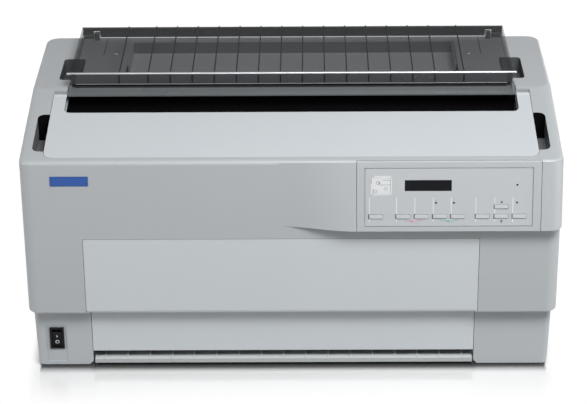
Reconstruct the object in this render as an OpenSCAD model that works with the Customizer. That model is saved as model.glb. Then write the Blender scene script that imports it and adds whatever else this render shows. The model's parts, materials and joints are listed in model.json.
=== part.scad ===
// Wide-carriage dot matrix printer, built as separate pieces.
// Millimetres. Origin on the table under the middle of the case.
// +Z is up, the front faces -Y and +X is to its right.

/* [Case] */
// Width of the upper case
case_w = 700; // [690:1:720]
// Distance of the front face from the middle
case_front = 175; // [172:1:180]
// Distance of the rear face from the middle
case_rear = 191; // [188:1:205]
// Height of the step between lower and upper case
step_z = 89; // [86:1:94]
// Height of the crease between front and sloped top
crease_z = 309; // [307:1:314]
// Rise of the flat rear part of the top above the crease
top_rise = 31; // [29:1:34]
// Wall of the mouldings
wall = 3; // [2.4:0.2:3.6]
// Plan radius of the front corners
front_corner_r = 16; // [14:1:20]
// Plan radius of the rear corners
rear_corner_r = 18; // [14:1:22]
// Fillet along the top rim at the front and sides
rim_r = 6; // [5:0.5:7]
// Fillet along the lower edge at the step
step_r = 3; // [2:0.5:4]
// Fillet along the top rim at the rear
rear_rim_r = 2.5; // [2:0.5:4]

/* [Base] */
// Set-back of the lower case at the front
base_setback = 17; // [15:1:19]
// Set-back of the lower case at each side
base_side = 5; // [4:1:7]
// How far each side of the lower case leans in towards the bottom
base_draft = 2.5; // [1:0.5:4]
// Height of the rubber feet
foot_h = 3; // [2:0.5:4]
// Radius of a rubber foot
foot_r = 13; // [10:1:16]

/* [Panel bulge] */
// How far the lower edge of the bulge stands proud
bulge_depth = 16; // [14:1:18]
// Height of the bulge from the crease to its lower edge
panel_h = 92; // [90:1:95]
// Length over which the bulge swells
bulge_run = 99.5; // [85:0.5:120]
// Width of the panel
panel_w = 236.5; // [234:0.5:238]
// Gap between the panel and the right side of the case
panel_gap = 29; // [27:0.5:31]

/* [Covers] */
// Width of the deck beside the top cover
side_deck = 31.3; // [31.1:0.1:32]
// Width of the deck in front of the top cover
front_deck = 10.7; // [10:0.1:12]
// Width of each rear arm of the top cover
arm_w = 17.7; // [17:0.1:19]
// Front edge of the paper exit
exit_front = 60; // [58:0.5:62]
// Rear edge of the paper exit
exit_rear = 19; // [18:0.5:20]
// Gap at each side of the smoked cover
smoke_gap = 3; // [2:0.5:4]
// Height of the smoked cover above the flat top
smoke_rise = 23; // [21:0.5:25]
// Wall of the smoked cover
smoke_wall = 2; // [1.6:0.2:2.4]
// Pitch of the ribs across the smoked cover
rib_pitch = 29.6; // [28:0.2:30]
// Width of the case to the left of the front cover
door_left_gap = 78; // [76:0.5:80]
// Width of the case to the right of the front cover
door_right_gap = 105.5; // [104:0.5:108]
// Height of the case between the front cover and the bulge
door_top_gap = 18.5; // [17:0.5:22]
// Bottom edge of the front cover
door_bottom = 24; // [23:0.5:25]
// Seam around covers
seam = 0.6; // [0.5:0.1:0.8]

/* [Paper feed] */
// Radius of the rubber platen
platen_r = 22; // [20:0.5:23]
// Gap between each end of the platen and the side frame
platen_gap = 75; // [72:1:85]
// Module of the feed gears
gear_m = 1.5; // [1.48:0.01:1.52]
// Side of the square tractor shafts
square_s = 10; // [9:0.5:10.5]
// Distance of a tractor from the end of the platen
tractor_in = 35; // [25:1:50]

/* [Head] */
// Radius of the carriage guide shaft
guide_r = 8; // [7:0.5:9]
// Radius of the print head body
head_r = 20; // [18:0.5:20.5]
// Distance of the carriage at rest from the left frame
home_gap = 110; // [106:1:125]

/* [Keys] */
// Width of a key cap
key_w = 17.6; // [16:0.2:18]
// Height of a key cap
key_h = 5.2; // [4.8:0.1:5.6]
// Gap around a key cap
key_gap = 0.4; // [0.35:0.05:0.5]

/* [Hidden] */
$fn = 48;
cut = 1;
half_w = case_w / 2;
top_z = crease_z + top_rise;
bulge_z = crease_z - panel_h;
panel_right = half_w - panel_gap;
panel_left = panel_right - panel_w;
bulge_start = panel_left - bulge_run;
lid_half_w = half_w - side_deck;
lid_front = case_front - front_deck;
exit_half_w = lid_half_w - arm_w;
smoke_half_w = exit_half_w - smoke_gap;
door_left = -half_w + door_left_gap;
door_right = half_w - door_right_gap;
door_top = bulge_z - door_top_gap;
base_half = half_w - base_side;
base_front = case_front - base_setback;
base_rear = case_rear - 4;
base_corner_r = front_corner_r - 8;
knee_y = 0;
slope = (top_z - crease_z) / (case_front + knee_y);
hull_fn = 32;
running = 0.05;

// Height of the outer top surface at a given y
function top_at(y) = y < knee_y ? crease_z + slope * (y + case_front) : top_z;
function smooth(t) = t * t * (3 - 2 * t);
function clamp01(t) = max(0, min(1, t));
function bulge_at(x) = bulge_depth * smooth(clamp01((x - bulge_start) / (panel_left - bulge_start)));

// Control panel plane, which leans out towards its lower edge
panel_top = crease_z - 0.5;
panel_tilt = atan(bulge_depth / panel_h);
panel_skin = 2;
face_left = panel_left + 10.5;
face_right = panel_right - 11;
face_top = 9.5;
face_bottom = panel_h - 5.5;
face_recess = 0.8;
key_row = face_bottom - 13;
key_upper_row = key_row - 13;
key_travel = 1.2;
lamp_row = key_upper_row - 5;

// The end keys keep their margins, the others share out the span between them
key_first = face_left + 14.1;
key_last = face_right - 16.6;
key_steps = [0, 34.9, 58.6, 82, 105.2, 137, 161.1, 184.3, 161.1];
key_x = [for (s = key_steps) key_first + (key_last - key_first) * s / max(key_steps)];
key_v = [for (i = [0:8]) i == 8 ? key_upper_row : key_row];
lamp_r = 1.5;
lamp_at = [[key_x[3] - 5.1, lamp_row], [key_x[4] - 5.2, lamp_row], [key_x[7] - 3.4, lamp_row],
    [key_x[7] - 3.4, face_top + 22.5]];
display_x = [key_x[1] + 1.8, key_x[4] - 8.2];
display_v = [face_top + 15.7, face_top + 30.3];
board_w = 14;
key_back = face_recess + panel_skin + 1.4;

// Places in the mechanism, each as [y, z]
platen_drop = 78;
platen_at = [-30, top_z - platen_drop];
platen_teeth = 40;
tractor_teeth = 24;
idler_teeth = 60;
pinion_teeth = 12;
function pitch_r(n) = gear_m * n / 2;
function polar(p, r, a) = [p[0] + r * cos(a), p[1] + r * sin(a)];
front_angle = -125;
rear_idler_angle = -10;
rear_shaft_angle = 5;
pinion_angle = -60;
front_idler_at = polar(platen_at, pitch_r(platen_teeth + idler_teeth), front_angle);
front_shaft_at = polar(front_idler_at, pitch_r(tractor_teeth + idler_teeth), front_angle);
rear_idler_at = polar(platen_at, pitch_r(platen_teeth + idler_teeth), rear_idler_angle);
rear_shaft_at = polar(rear_idler_at, pitch_r(tractor_teeth + idler_teeth), rear_shaft_angle);
pinion_at = polar(front_idler_at, pitch_r(idler_teeth + pinion_teeth), pinion_angle);
frame_x = half_w - 50;
gear_x = frame_x + 5;
gear_w = 8;
guide_at = [-100, platen_at[1] - 36];
head_at_z = platen_at[1];
belt_z = guide_at[1] - 29;
belt_r = 9;
belt_half = frame_x - 38;
home_x = -(frame_x - home_gap);
platen_half = frame_x - platen_gap;
tractor_x = platen_half - tractor_in;
belt_t = 1.2;
belt_w = 8;
rail_at = [-case_front + 35, guide_at[1] + 14];

// Side frames
frame_t = 2;
floor_z = foot_h + wall;
shaft_r = 7;
journal_r = 5;
support_r = 5;
support_drop = 45;
front_support_at = front_shaft_at - [0, support_drop];
rear_support_at = rear_shaft_at - [support_drop, 0];
chute_half = platen_half + 3;
ribbon_y = platen_at[0] - platen_r - 1.2;

// Cover pivots, each as [y, z]
lid_pivot = [-15.4, top_at(-15.4) - 4.6];
lid_arm_r = 4.6;
pin_r = 2.5;
rear_pivot = [case_rear - 7, top_z + 6];
rear_knuckle_r = 4.6;
smoke_rear = rear_pivot[0] - 9.5;
door_pivot = [-case_front + 27, door_bottom + 10];
door_boss_r = 5;
door_pin_r = 3;
rod_r = 1.8;
rod_at = [-1.5, top_z + smoke_rise - rod_r];
flap_half = smoke_half_w - 8;
flap_bottom = top_z + 5;
rib_h = 1.2;
rib_t = 1.6;
outer_rib = platen_half + 6.5;
rib_x = concat([for (k = [-6.5:1:6.5]) k * rib_pitch], [-outer_rib, outer_rib]);

// Openings in the flat part of the top
well_half = platen_half + 4;
well_rear = case_rear - 13;
well_front = 8;
well_depth = 20;
tray_front = 88;
front_scoop = [exit_front + 4, lid_front - 14.3];
rear_scoop = [30, 107];
scoop_out = lid_half_w + 15.8;

gutter = 14;
gutter_rear = -6;

// Name plate, rear openings, inlet and interface ports
plate_x = [-half_w + 40, -half_w + 89];
plate_z = [275.6, 288.8];
paper_half = platen_half - 13;
inlet_x = [-half_w + 88, -half_w + 138];
inlet_z = [34, 62];
port_z = 24;
ports = [[20, 64, 13], [110, 13, 12], [150, 42, 11]];

// Power switch and the ribbed lip
switch_x = [-half_w + 24.9, -half_w + 44];
switch_z = [27.8, 59.2];
switch_tilt = 9;
rocker_pivot = [-base_front + 5, (switch_z[0] + switch_z[1]) / 2];
lip_left = door_left + 6;
lip_right = door_right - 3;
lip_pitch = 30;

// A box given by its lowest and highest corners
module slab(low, high) translate(low) cube(high - low);

// A profile drawn in Y and Z, extruded along X
module along_x(x0, x1) translate([x0, 0, 0]) rotate([90, 0, 90]) linear_extrude(x1 - x0) children();

// A profile drawn in X and Z, extruded along Y
module along_y(y0, y1) translate([0, y1, 0]) rotate([90, 0, 0]) linear_extrude(y1 - y0) children();

module rod_x(x0, x1, at, r) translate([x0, at[0], at[1]]) rotate([0, 90, 0]) cylinder(r = r, h = x1 - x0);

// Both mirror images in X
module both_sides() { children(); mirror([1, 0, 0]) children(); }

// A rectangle with round corners
module round_rect(low, high, r) {
    translate([low[0] + r, low[1]]) square([high[0] - low[0] - 2 * r, high[1] - low[1]]);
    translate([low[0], low[1] + r]) square([high[0] - low[0], high[1] - low[1] - 2 * r]);
    for (x = [low[0] + r, high[0] - r], y = [low[1] + r, high[1] - r]) translate([x, y]) circle(r);
}

// A plan outline with its own radius at the front and at the rear
module plan(half, front, rear, rf, rr) {
    translate([-half, -front + rf]) square([2 * half, front + rear - rf - rr]);
    translate([-half + rf, -front]) square([2 * (half - rf), rf]);
    translate([-half + rr, rear - rr]) square([2 * (half - rr), rr]);
    for (s = [-1, 1]) translate([s * (half - rf), -front + rf]) circle(rf);
    for (s = [-1, 1]) translate([s * (half - rr), rear - rr]) circle(rr);
}

// A stadium from the origin down to a given drop
module stadium(r, drop) {
    circle(r);
    translate([0, -drop]) circle(r);
    translate([-r, -drop]) square([2 * r, drop]);
}

// One rounded corner ring of the case
module ring(x, y, z, r, fillet) translate([x, y, z])
    rotate_extrude($fn = hull_fn) translate([r - fillet, 0]) circle(fillet, $fn = hull_fn);

// The closed form of the upper case, drawn in by a given wall
module case_form(inset) {
    top_fillet = rim_r - inset;
    low_fillet = max(step_r - inset, 0.5);
    rear_fillet = max(rear_rim_r - inset, 0.5);
    front_r = front_corner_r - inset;
    rear_r = rear_corner_r - inset;
    front_x = half_w - front_corner_r;
    rear_x = half_w - rear_corner_r;
    front_y = -case_front + front_corner_r;
    rear_y = case_rear - rear_corner_r;
    low_z = step_z + inset + low_fillet;
    hull() both_sides() {
        ring(front_x, front_y, low_z, front_r, low_fillet);
        ring(front_x, front_y, crease_z - rim_r + 1, front_r, top_fillet);
        ring(rear_x, knee_y + rear_corner_r - rim_r, top_z - rim_r, rear_r, top_fillet);
        ring(rear_x, rear_y, top_z - inset - rear_fillet, rear_r, rear_fillet);
        ring(rear_x, rear_y, low_z, rear_r, low_fillet);
    }
}

// The wedge that swells out around the control panel, drawn in by a given wall, with the case's round corner
module bulge(inset) {
    grow = panel_left - bulge_start;
    steps = 14;
    r = front_corner_r - inset;
    corner = half_w - front_corner_r;
    xs = concat([for (i = [0:steps]) bulge_start + grow * i / steps],
                [for (i = [0:8]) corner + (r - 0.1) * sin(90 * i / 8)]);
    deep = inset > 0 ? 12 : wall / 2;
    function corner_back(x) = x > corner ? r - sqrt(r * r - pow(x - corner, 2)) : 0;
    points = [for (x = xs) let (y = -case_front + inset + corner_back(x)) each [
        [x, y, crease_z - inset - 2],
        [x, y - bulge_at(x), bulge_z + inset],
        [x, y + deep, bulge_z + inset],
        [x, y + deep, crease_z - inset - 2]]];
    last = 4 * (len(xs) - 1);
    sides = [for (i = [0:len(xs) - 2], k = [0:3]) let (a = 4 * i + k, b = 4 * i + (k + 1) % 4)
        each [[b + 4, b, a], [a + 4, b + 4, a]]];
    ends = [[1, 2, 3], [0, 1, 3], [last + 2, last + 1, last], [last + 3, last + 2, last]];
    polyhedron(points, concat(sides, ends), convexity = 4);
}

// Where the panel's face lies: x across, z down from the crease, -y out of the face
module on_panel() translate([0, -case_front, crease_z]) rotate([-panel_tilt, 0, 0]) children();

// A spur gear around the X axis at the origin, with slim teeth for backlash
module gear_shape(n) {
    rp = pitch_r(n);
    top_r = rp + 0.85 * gear_m;
    root_r = rp - 1.2 * gear_m;
    pitch_a = 360 / n;
    polygon([for (k = [0:n - 1]) each [
        [root_r * cos(pitch_a * (k - 0.31)), root_r * sin(pitch_a * (k - 0.31))],
        [rp * cos(pitch_a * (k - 0.21)), rp * sin(pitch_a * (k - 0.21))],
        [top_r * cos(pitch_a * (k - 0.09)), top_r * sin(pitch_a * (k - 0.09))],
        [top_r * cos(pitch_a * (k + 0.09)), top_r * sin(pitch_a * (k + 0.09))],
        [rp * cos(pitch_a * (k + 0.21)), rp * sin(pitch_a * (k + 0.21))],
        [root_r * cos(pitch_a * (k + 0.31)), root_r * sin(pitch_a * (k + 0.31))]]]);
}

// Angle of a driven gear's tooth that meshes with the driver, which lies at the given angle
function mesh(from_teeth, from_off, to_teeth, a) =
    a + 180 - 360 / to_teeth * (0.5 - (a - from_off) * from_teeth / 360);

module gear(at, n, off, bore_r) {
    rim = pitch_r(n) - 5 * gear_m;
    translate([gear_x, at[0], at[1]]) rotate([90, 0, 90]) difference() {
        linear_extrude(gear_w) rotate(off) gear_shape(n);
        translate([0, 0, -cut]) cylinder(r = bore_r, h = gear_w + 2 * cut);
        if (rim > bore_r + 10)
            translate([0, 0, gear_w / 2]) linear_extrude(gear_w) difference() {
                circle(rim);
                circle(bore_r + 4);
            }
        if (rim > bore_r + 24)
            for (k = [0:4]) rotate(72 * k)
                translate([(rim + bore_r) / 2 + 2, 0, -cut]) cylinder(r = 7, h = gear_w);
    }
}

// A band that follows the top surface, between two heights measured from it
module top_band(z0, z1) along_x(-half_w, half_w) polygon([
    [-case_front - cut, top_at(-case_front - cut) + z0], [knee_y, top_z + z0], [case_rear, top_z + z0],
    [case_rear, top_z + z1], [knee_y, top_z + z1], [-case_front - cut, top_at(-case_front - cut) + z1]]);

// Everything within a plan outline, from well under the top to well over it
module column() translate([0, 0, crease_z - 60]) linear_extrude(200) children();

// Upper case: shell, swollen panel side, gutter round the top cover, scoops, hinge ears
module lid_hole(grow) {
    round_rect([-lid_half_w - grow, -lid_front - grow], [lid_half_w + grow, -30], 11.5 + grow);
    rear = gutter_rear + (grow > 1 ? grow : 0);
    translate([-lid_half_w - grow, -50]) square([2 * (lid_half_w + grow), 50 + rear]);
}

module front_scoop_form(inset) {
    y0 = -front_scoop[1];
    y1 = -front_scoop[0];
    low = top_at(y0) - 21;
    translate([0, 0, low + inset]) linear_extrude(top_at(y1) - low + cut)
        round_rect([exit_half_w + 3 + inset, y0 - wall + inset],
                   [scoop_out + wall - inset, y1 + wall - inset], 12 - inset);
}

module rear_scoop_form(inset) {
    translate([0, 0, top_z - 22 + inset]) linear_extrude(22 + (inset > 0 ? cut : -1) - inset)
        round_rect([smoke_half_w - 14 + inset, rear_scoop[0] - wall + inset],
                   [lid_half_w - 1.7 + wall - inset, rear_scoop[1] + wall - inset], 9 - inset);
}

module top_openings() {
    intersection() {
        top_band(-gutter, 5);
        column() lid_hole(seam);
    }
    column() {
        round_rect([-exit_half_w - seam, -lid_front + 8], [exit_half_w + seam, 0], 8);
        translate([-exit_half_w - seam, -40]) square([2 * (exit_half_w + seam), 40 + well_front]);
        round_rect([-well_half, -20], [well_half, well_rear], 6);
    }
}

module rear_wall_openings() {
    for (k = [0:8]) translate([-half_w + 50 + 9 * k, 0, 0])
        slab([0, base_rear - 8, 130], [5, case_rear + cut, 205]);
    slab([-paper_half, base_rear - 8, 150], [paper_half, case_rear + cut, 178]);
}

module upper_case() color("#b4b9bd") {
    difference() {
        union() {
            difference() {
                union() { case_form(0); bulge(0); }
                case_form(wall);
                bulge(wall);
                translate([0, 0, step_z - cut]) linear_extrude(wall + 2 * cut)
                    plan(base_half - base_draft - wall, base_front - wall, base_rear - wall,
                         base_corner_r, rear_corner_r - 6);
            }
            intersection() {
                top_band(-gutter - wall, -1);
                column() lid_hole(seam + wall);
            }
            intersection() {
                top_band(-60, -1);
                both_sides() front_scoop_form(0);
            }
            both_sides() rear_scoop_form(0);
            both_sides() slab([lid_half_w + seam, lid_pivot[0] - 8, lid_pivot[1] - 8],
                              [lid_half_w + 9, lid_pivot[0] + 7, top_at(lid_pivot[0]) - 1]);
            both_sides() slab([smoke_half_w - 23, rear_pivot[0] - 5, top_z - 1],
                              [smoke_half_w - 16, rear_pivot[0] + 4, rear_pivot[1] + 4]);
        }
        both_sides() front_scoop_form(wall);
        both_sides() rear_scoop_form(wall);
        top_openings();
        slab([panel_left - seam, -case_front - bulge_depth - 5, bulge_z - cut],
             [panel_right + seam, -case_front + wall + 0.2, panel_top + 3]);
        slab([panel_left - seam, -case_front, bulge_z],
             [panel_right + seam, -case_front + 6.2, panel_top - wall]);
        slab([door_left - seam, -case_front - cut, step_z - cut],
             [door_right + seam, -base_front + wall + 1, door_top + seam]);
        rear_wall_openings();
        slab([plate_x[0] - 0.4, -case_front - cut, plate_z[0] - 0.4],
             [plate_x[1] + 0.4, -case_front + 0.6, plate_z[1] + 0.4]);
        both_sides() rod_x(lid_half_w - cut, lid_half_w + 8, lid_pivot, pin_r);
        both_sides() rod_x(smoke_half_w - 24, smoke_half_w - 15, rear_pivot, pin_r);
    }
}

// Lower case: tray with two legs at the front, each boxed in, and sockets for the feet
module foot_places() for (s = [-1, 1], y = [-case_front + 55, case_rear - 51])
    translate([s * (half_w - 60), y, 0]) children();

module base_plan(inset, drawn_in) plan(base_half - drawn_in - inset, base_front - inset, base_rear - inset,
    base_corner_r - inset, rear_corner_r - 2 - inset);

module lower_case() color("#a9aeb2") {
    leg_l = door_left + 3.5;
    leg_r = door_right - 1.5;
    bay_rear = -base_front + 30;
    difference() {
        union() {
            difference() {
                hull() {
                    translate([0, 0, foot_h]) linear_extrude(1) base_plan(0, base_draft);
                    translate([0, 0, step_z - 1]) linear_extrude(1) base_plan(0, 0);
                }
                translate([0, 0, floor_z]) linear_extrude(step_z) base_plan(wall, base_draft);
            }
            slab([leg_l - wall, -base_front + 1, foot_h], [leg_l, bay_rear, step_z]);
            slab([leg_r, -base_front + 1, foot_h], [leg_r + wall, bay_rear, step_z]);
        }
        slab([leg_l, -base_front - cut, foot_h - cut], [leg_r, -base_front + wall + cut, step_z + cut]);
        slab([leg_l, -base_front - cut, foot_h - cut], [leg_r, -base_front + 20, floor_z + cut]);
        for (x = [leg_l, leg_r]) translate([x, -base_front - cut, foot_h]) rotate([0, 45, 0])
            translate([-3.5, 0, -3.5]) cube([7, 30, 7]);
        slab([switch_x[0] + 0.8, -base_front - cut, switch_z[0] + 0.8],
             [switch_x[1] - 0.8, -base_front + 10, switch_z[1] - 0.8]);
        slab([switch_x[0] - 5, -base_front - cut, 8], [switch_x[1] + 3, -base_front + 1, switch_z[1] + 3]);
        foot_places() cylinder(r = 4, h = 20);
        rod_x(leg_l - wall - cut, leg_l + cut, door_pivot, door_pin_r);
        rod_x(leg_r - cut, leg_r + wall + cut, door_pivot, door_pin_r);
        slab([inlet_x[0] + 1, base_rear - 5, inlet_z[0] + 1],
             [inlet_x[1] - 1, base_rear + cut, inlet_z[1] - 1]);
        for (p = ports) slab([p[0] - 0.5, base_rear - 5, port_z - 0.5],
                             [p[0] + p[1] + 0.5, base_rear + cut, port_z + p[2] + 0.5]);
    }
}

module rubber_feet() color("#202224") foot_places() {
    cylinder(r = foot_r, h = foot_h);
    cylinder(r = 4, h = floor_z - 0.4);
}

// Blank plate at the upper left of the front
module name_plate() color("#0a4a98")
    slab([plate_x[0], -case_front - 0.5, plate_z[0]], [plate_x[1], -case_front + 0.6, plate_z[1]]);

// Top cover: sloped panel with a skirt, two rear arms beside the paper exit
module lid_outline(inset) {
    round_rect([-lid_half_w + inset, -lid_front + inset], [lid_half_w - inset, -30], 11.5 - inset);
    translate([-lid_half_w + inset, -50]) square([2 * (lid_half_w - inset), 50 + lid_pivot[0] + lid_arm_r]);
}

module top_cover() color("#c8cdd0") {
    arm_in = exit_half_w + 0.3;
    skirt = 12;
    difference() {
        union() {
            intersection() {
                top_band(-wall, 0);
                column() lid_outline(0);
            }
            intersection() {
                top_band(-skirt, -1);
                column() difference() {
                    lid_outline(0);
                    lid_outline(2);
                    translate([-lid_half_w - 1, -lid_front + 13])
                        square([2 * lid_half_w + 2, front_scoop[1] - front_scoop[0]]);
                }
            }
            intersection() {
                top_band(-9, -wall + 0.5);
                for (x = [-240:60:240])
                    slab([x - 0.8, -lid_front + 1, crease_z - 20], [x + 0.8, -exit_front - 1, top_z]);
            }
            along_x(-exit_half_w, exit_half_w) polygon([
                [-exit_front - 2, top_at(-exit_front) - wall + 0.5],
                [-exit_front, top_at(-exit_front) - wall + 0.5],
                [-exit_front, top_at(-exit_front) - skirt], [-exit_front - 2, top_at(-exit_front) - skirt]]);
        }
        translate([0, 0, crease_z]) linear_extrude(60)
            round_rect([-arm_in, -exit_front], [arm_in, 10], 8);
        translate([0, 0, crease_z - 60]) linear_extrude(200)
            translate([-arm_in, -exit_front + 9]) square([2 * arm_in, 80]);
        both_sides() slab([arm_in - cut, lid_pivot[0] - 5, crease_z - 20], [lid_half_w + cut, 0, top_z + 20]);
    }
    both_sides() difference() {
        union() {
            rod_x(arm_in, lid_half_w, lid_pivot, lid_arm_r);
            slab([arm_in, lid_pivot[0] - 6, lid_pivot[1] - 2],
                 [lid_half_w, lid_pivot[0], lid_pivot[1] + 3.2]);
        }
        rod_x(lid_half_w - 12, lid_half_w + cut, lid_pivot, pin_r + running);
    }
}

// Pins of the three covers, pressed into the cases
module hinge_pins() color("#8f9498") {
    both_sides() rod_x(lid_half_w - 10, lid_half_w + 8, lid_pivot, pin_r);
    both_sides() rod_x(smoke_half_w - 23, smoke_half_w - 6, rear_pivot, pin_r);
    rod_x(door_left + 0.5, door_left + 16, door_pivot, door_pin_r);
    rod_x(door_right - 14, door_right + 1.5, door_pivot, door_pin_r);
}

// Smoked rear cover: one moulding with ribs that carry the printed paper back
module smoke_side() polygon([
    [rear_pivot[0] - 2, rear_pivot[1] - 4.5], [smoke_rear, top_z + smoke_rise - rib_h],
    [2.5, top_z + smoke_rise - rib_h], [2.5, top_z + 12], [-3, top_z + 6],
    [-exit_rear, top_at(-exit_rear) + 1.2],
    [-exit_rear, top_at(-exit_rear) - 0.6], [4, top_z + 0.8]]);

module rear_cover() color("#4a4e50", 0.6) {
    top = top_z + smoke_rise - rib_h;
    difference() {
        union() {
            slab([-smoke_half_w, 2.5, top - smoke_wall], [smoke_half_w, smoke_rear, top]);
            both_sides() along_x(smoke_half_w - smoke_wall, smoke_half_w) smoke_side();
            along_x(-smoke_half_w, smoke_half_w) polygon([
                [smoke_rear, top], [smoke_rear - 0.6, top - smoke_wall],
                [rear_pivot[0] - 2, rear_pivot[1] + 1],
                [rear_pivot[0], rear_pivot[1] - 3], [rear_pivot[0] + 1, rear_pivot[1] + 3]]);
            along_x(-exit_half_w + 0.7, exit_half_w - 0.7) polygon([
                [-exit_rear, top_at(-exit_rear) - 1.2], [-exit_rear, top_at(-exit_rear) + 0.8],
                [7, top_z + 3.8], [7, top_z + 1.8]]);
            for (x = rib_x) slab([x - rib_t / 2, 2.5, top - 0.2], [x + rib_t / 2, smoke_rear, top + rib_h]);
            both_sides() rod_x(smoke_half_w - 15, smoke_half_w, rear_pivot, rear_knuckle_r);
        }
        both_sides() rod_x(smoke_half_w - 16, smoke_half_w - 5, rear_pivot, pin_r + running);
        both_sides() slab([smoke_half_w - 24, rear_pivot[0] - 9, top_z - cut],
                          [smoke_half_w - 15, case_rear, top_z + 15]);
    }
}

// Black brackets at the front corners of the smoked cover, which hold the rod
module rod_brackets() color("#101214") both_sides() difference() {
    along_x(flap_half + 0.8, smoke_half_w - smoke_wall) polygon([
        [-5.4, top_z + 7.5], [-5.4, rod_at[1] + 0.5], [2.5, rod_at[1] + 0.5], [2.5, rod_at[1] - 2],
        [12, rod_at[1] - 2], [12, top_z + 7.5]]);
    rod_x(flap_half, smoke_half_w, rod_at, rod_r);
}

module flap_rod() color("#d8dadc")
    rod_x(-smoke_half_w + smoke_wall, smoke_half_w - smoke_wall, rod_at, rod_r);

// Narrow smoked flap that hangs from the rod and ends in a tear-off edge
module tear_off_flap() color("#4a4e50", 0.6) {
    gap_r = rod_r + running;
    face = rod_at[0] - gap_r;
    difference() {
        union() {
            slab([-flap_half, face - 1.4, flap_bottom], [flap_half, face + 0.6, rod_at[1]]);
            slab([-flap_half, face - 2.4, flap_bottom], [flap_half, face + 0.6, flap_bottom + 1.4]);
            rod_x(-flap_half, flap_half, rod_at, gap_r + 1.2);
            for (x = rib_x)
                slab([x - rib_t / 2, face - 2.4, flap_bottom], [x + rib_t / 2, face, rod_at[1] - 0.5]);
        }
        rod_x(-flap_half - cut, flap_half + cut, rod_at, gap_r);
        slab([-flap_half - cut, face - 4, rod_at[1]], [flap_half + cut, 10, rod_at[1] + 10]);
        slab([-flap_half - cut, rod_at[0], rod_at[1] - 1.5], [flap_half + cut, 10, rod_at[1] + 10]);
    }
}

// Front cover: one stepped door with flanges, hung low on two bosses
module door_skin() difference() {
    union() {
        translate([-case_front, step_z + rim_r]) square([wall, door_top - step_z - rim_r]);
        translate([-case_front + rim_r, step_z]) square([base_setback - rim_r + wall, wall]);
        translate([-base_front, door_bottom]) square([wall, step_z - door_bottom + wall]);
        translate([-case_front + rim_r, step_z + rim_r]) circle(rim_r);
    }
    translate([-case_front + rim_r, step_z + rim_r]) circle(rim_r - wall);
    translate([-case_front + wall, step_z + wall]) square([20, rim_r]);
    translate([-case_front + rim_r, step_z + rim_r]) square(rim_r + 1);
}

module front_cover() color("#b9bec1") {
    low_l = door_left + 4.2;
    low_r = door_right - 2.2;
    difference() {
        union() {
            along_x(door_left, door_right) intersection() {
                door_skin();
                translate([-case_front - cut, step_z]) square([base_setback + 1 + cut, 120]);
            }
            along_x(low_l, low_r) intersection() {
                door_skin();
                translate([-case_front - cut, door_bottom]) square([60, step_z + wall - door_bottom]);
            }
            slab([door_left, -case_front + 1, door_top - wall], [door_right, -case_front + 14, door_top]);
            for (x = [door_left, door_right - wall])
                slab([x, -case_front + 1, step_z + 1], [x + wall, -case_front + 14, door_top - 1]);
            for (x = [low_l + 4, low_r - 10]) along_x(x, x + 6) {
                translate(door_pivot) circle(door_boss_r);
                translate([-base_front + 1, door_pivot[1] - 4]) square([door_pivot[0] + base_front, 8]);
                translate([-base_front + 1, door_pivot[1]]) square([6, step_z - door_pivot[1]]);
            }
            for (x = [-180:60:180])
                slab([x, -base_front + 1, door_bottom + 16], [x + 1.6, -base_front + 8, step_z + 1]);
        }
        for (x = [low_l + 3, low_r - 11]) rod_x(x, x + 8, door_pivot, door_pin_r + running);
    }
}

// Ribbed lip that leads paper in under the front cover
module front_paper_guide() color("#9aa5a3") {
    y0 = -base_front;
    along_x(lip_left, lip_right) polygon([
        [y0, 5], [y0, 11], [y0 + 8, 12.5], [y0 + 34, 15], [y0 + 34, floor_z], [y0 + 31, floor_z],
        [y0 + 31, 12.2], [y0 + 8, 10], [y0 + 2.5, 9], [y0 + 2.5, 5]]);
    mid = (lip_left + lip_right) / 2;
    ribs_each_way = floor((mid - lip_left - 1) / lip_pitch);
    for (k = [-ribs_each_way:ribs_each_way])
        along_x(mid + k * lip_pitch - 0.8, mid + k * lip_pitch + 0.8) polygon([
        [y0 + 1, 10], [y0 + 1, 12.6], [y0 + 8, 14.6], [y0 + 34, 17.2], [y0 + 34, 13], [y0 + 8, 11]]);
}

// Power switch
module switch_frame() color("#16181a") difference() {
    union() {
        slab([switch_x[0], -base_front - 1.2, switch_z[0]], [switch_x[1], -base_front + 1, switch_z[1]]);
        slab([switch_x[0] + 0.8, -base_front - 1, switch_z[0] + 0.8],
             [switch_x[1] - 0.8, -base_front + 22, switch_z[1] - 0.8]);
    }
    slab([switch_x[0] + 3, -base_front - 3, switch_z[0] + 2.6],
         [switch_x[1] - 3, -base_front + 16, switch_z[1] - 2.6]);
    rod_x(switch_x[0] + 1.8, switch_x[1] - 1.8, rocker_pivot, 1.5 + running);
}

module switch_rocker() color("#0c0d0e") {
    reach = (switch_z[1] - switch_z[0]) / 2 - 4.4;
    rod_x(switch_x[0] + 2, switch_x[1] - 2, rocker_pivot, 1.5);
    along_x(switch_x[0] + 3.4, switch_x[1] - 3.4) translate(rocker_pivot) rotate(switch_tilt) polygon([
        [-6.2, -reach], [-4.4, 0], [-6.2, reach], [3, reach - 3], [6, 0], [3, -reach + 3]]);
}

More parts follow.
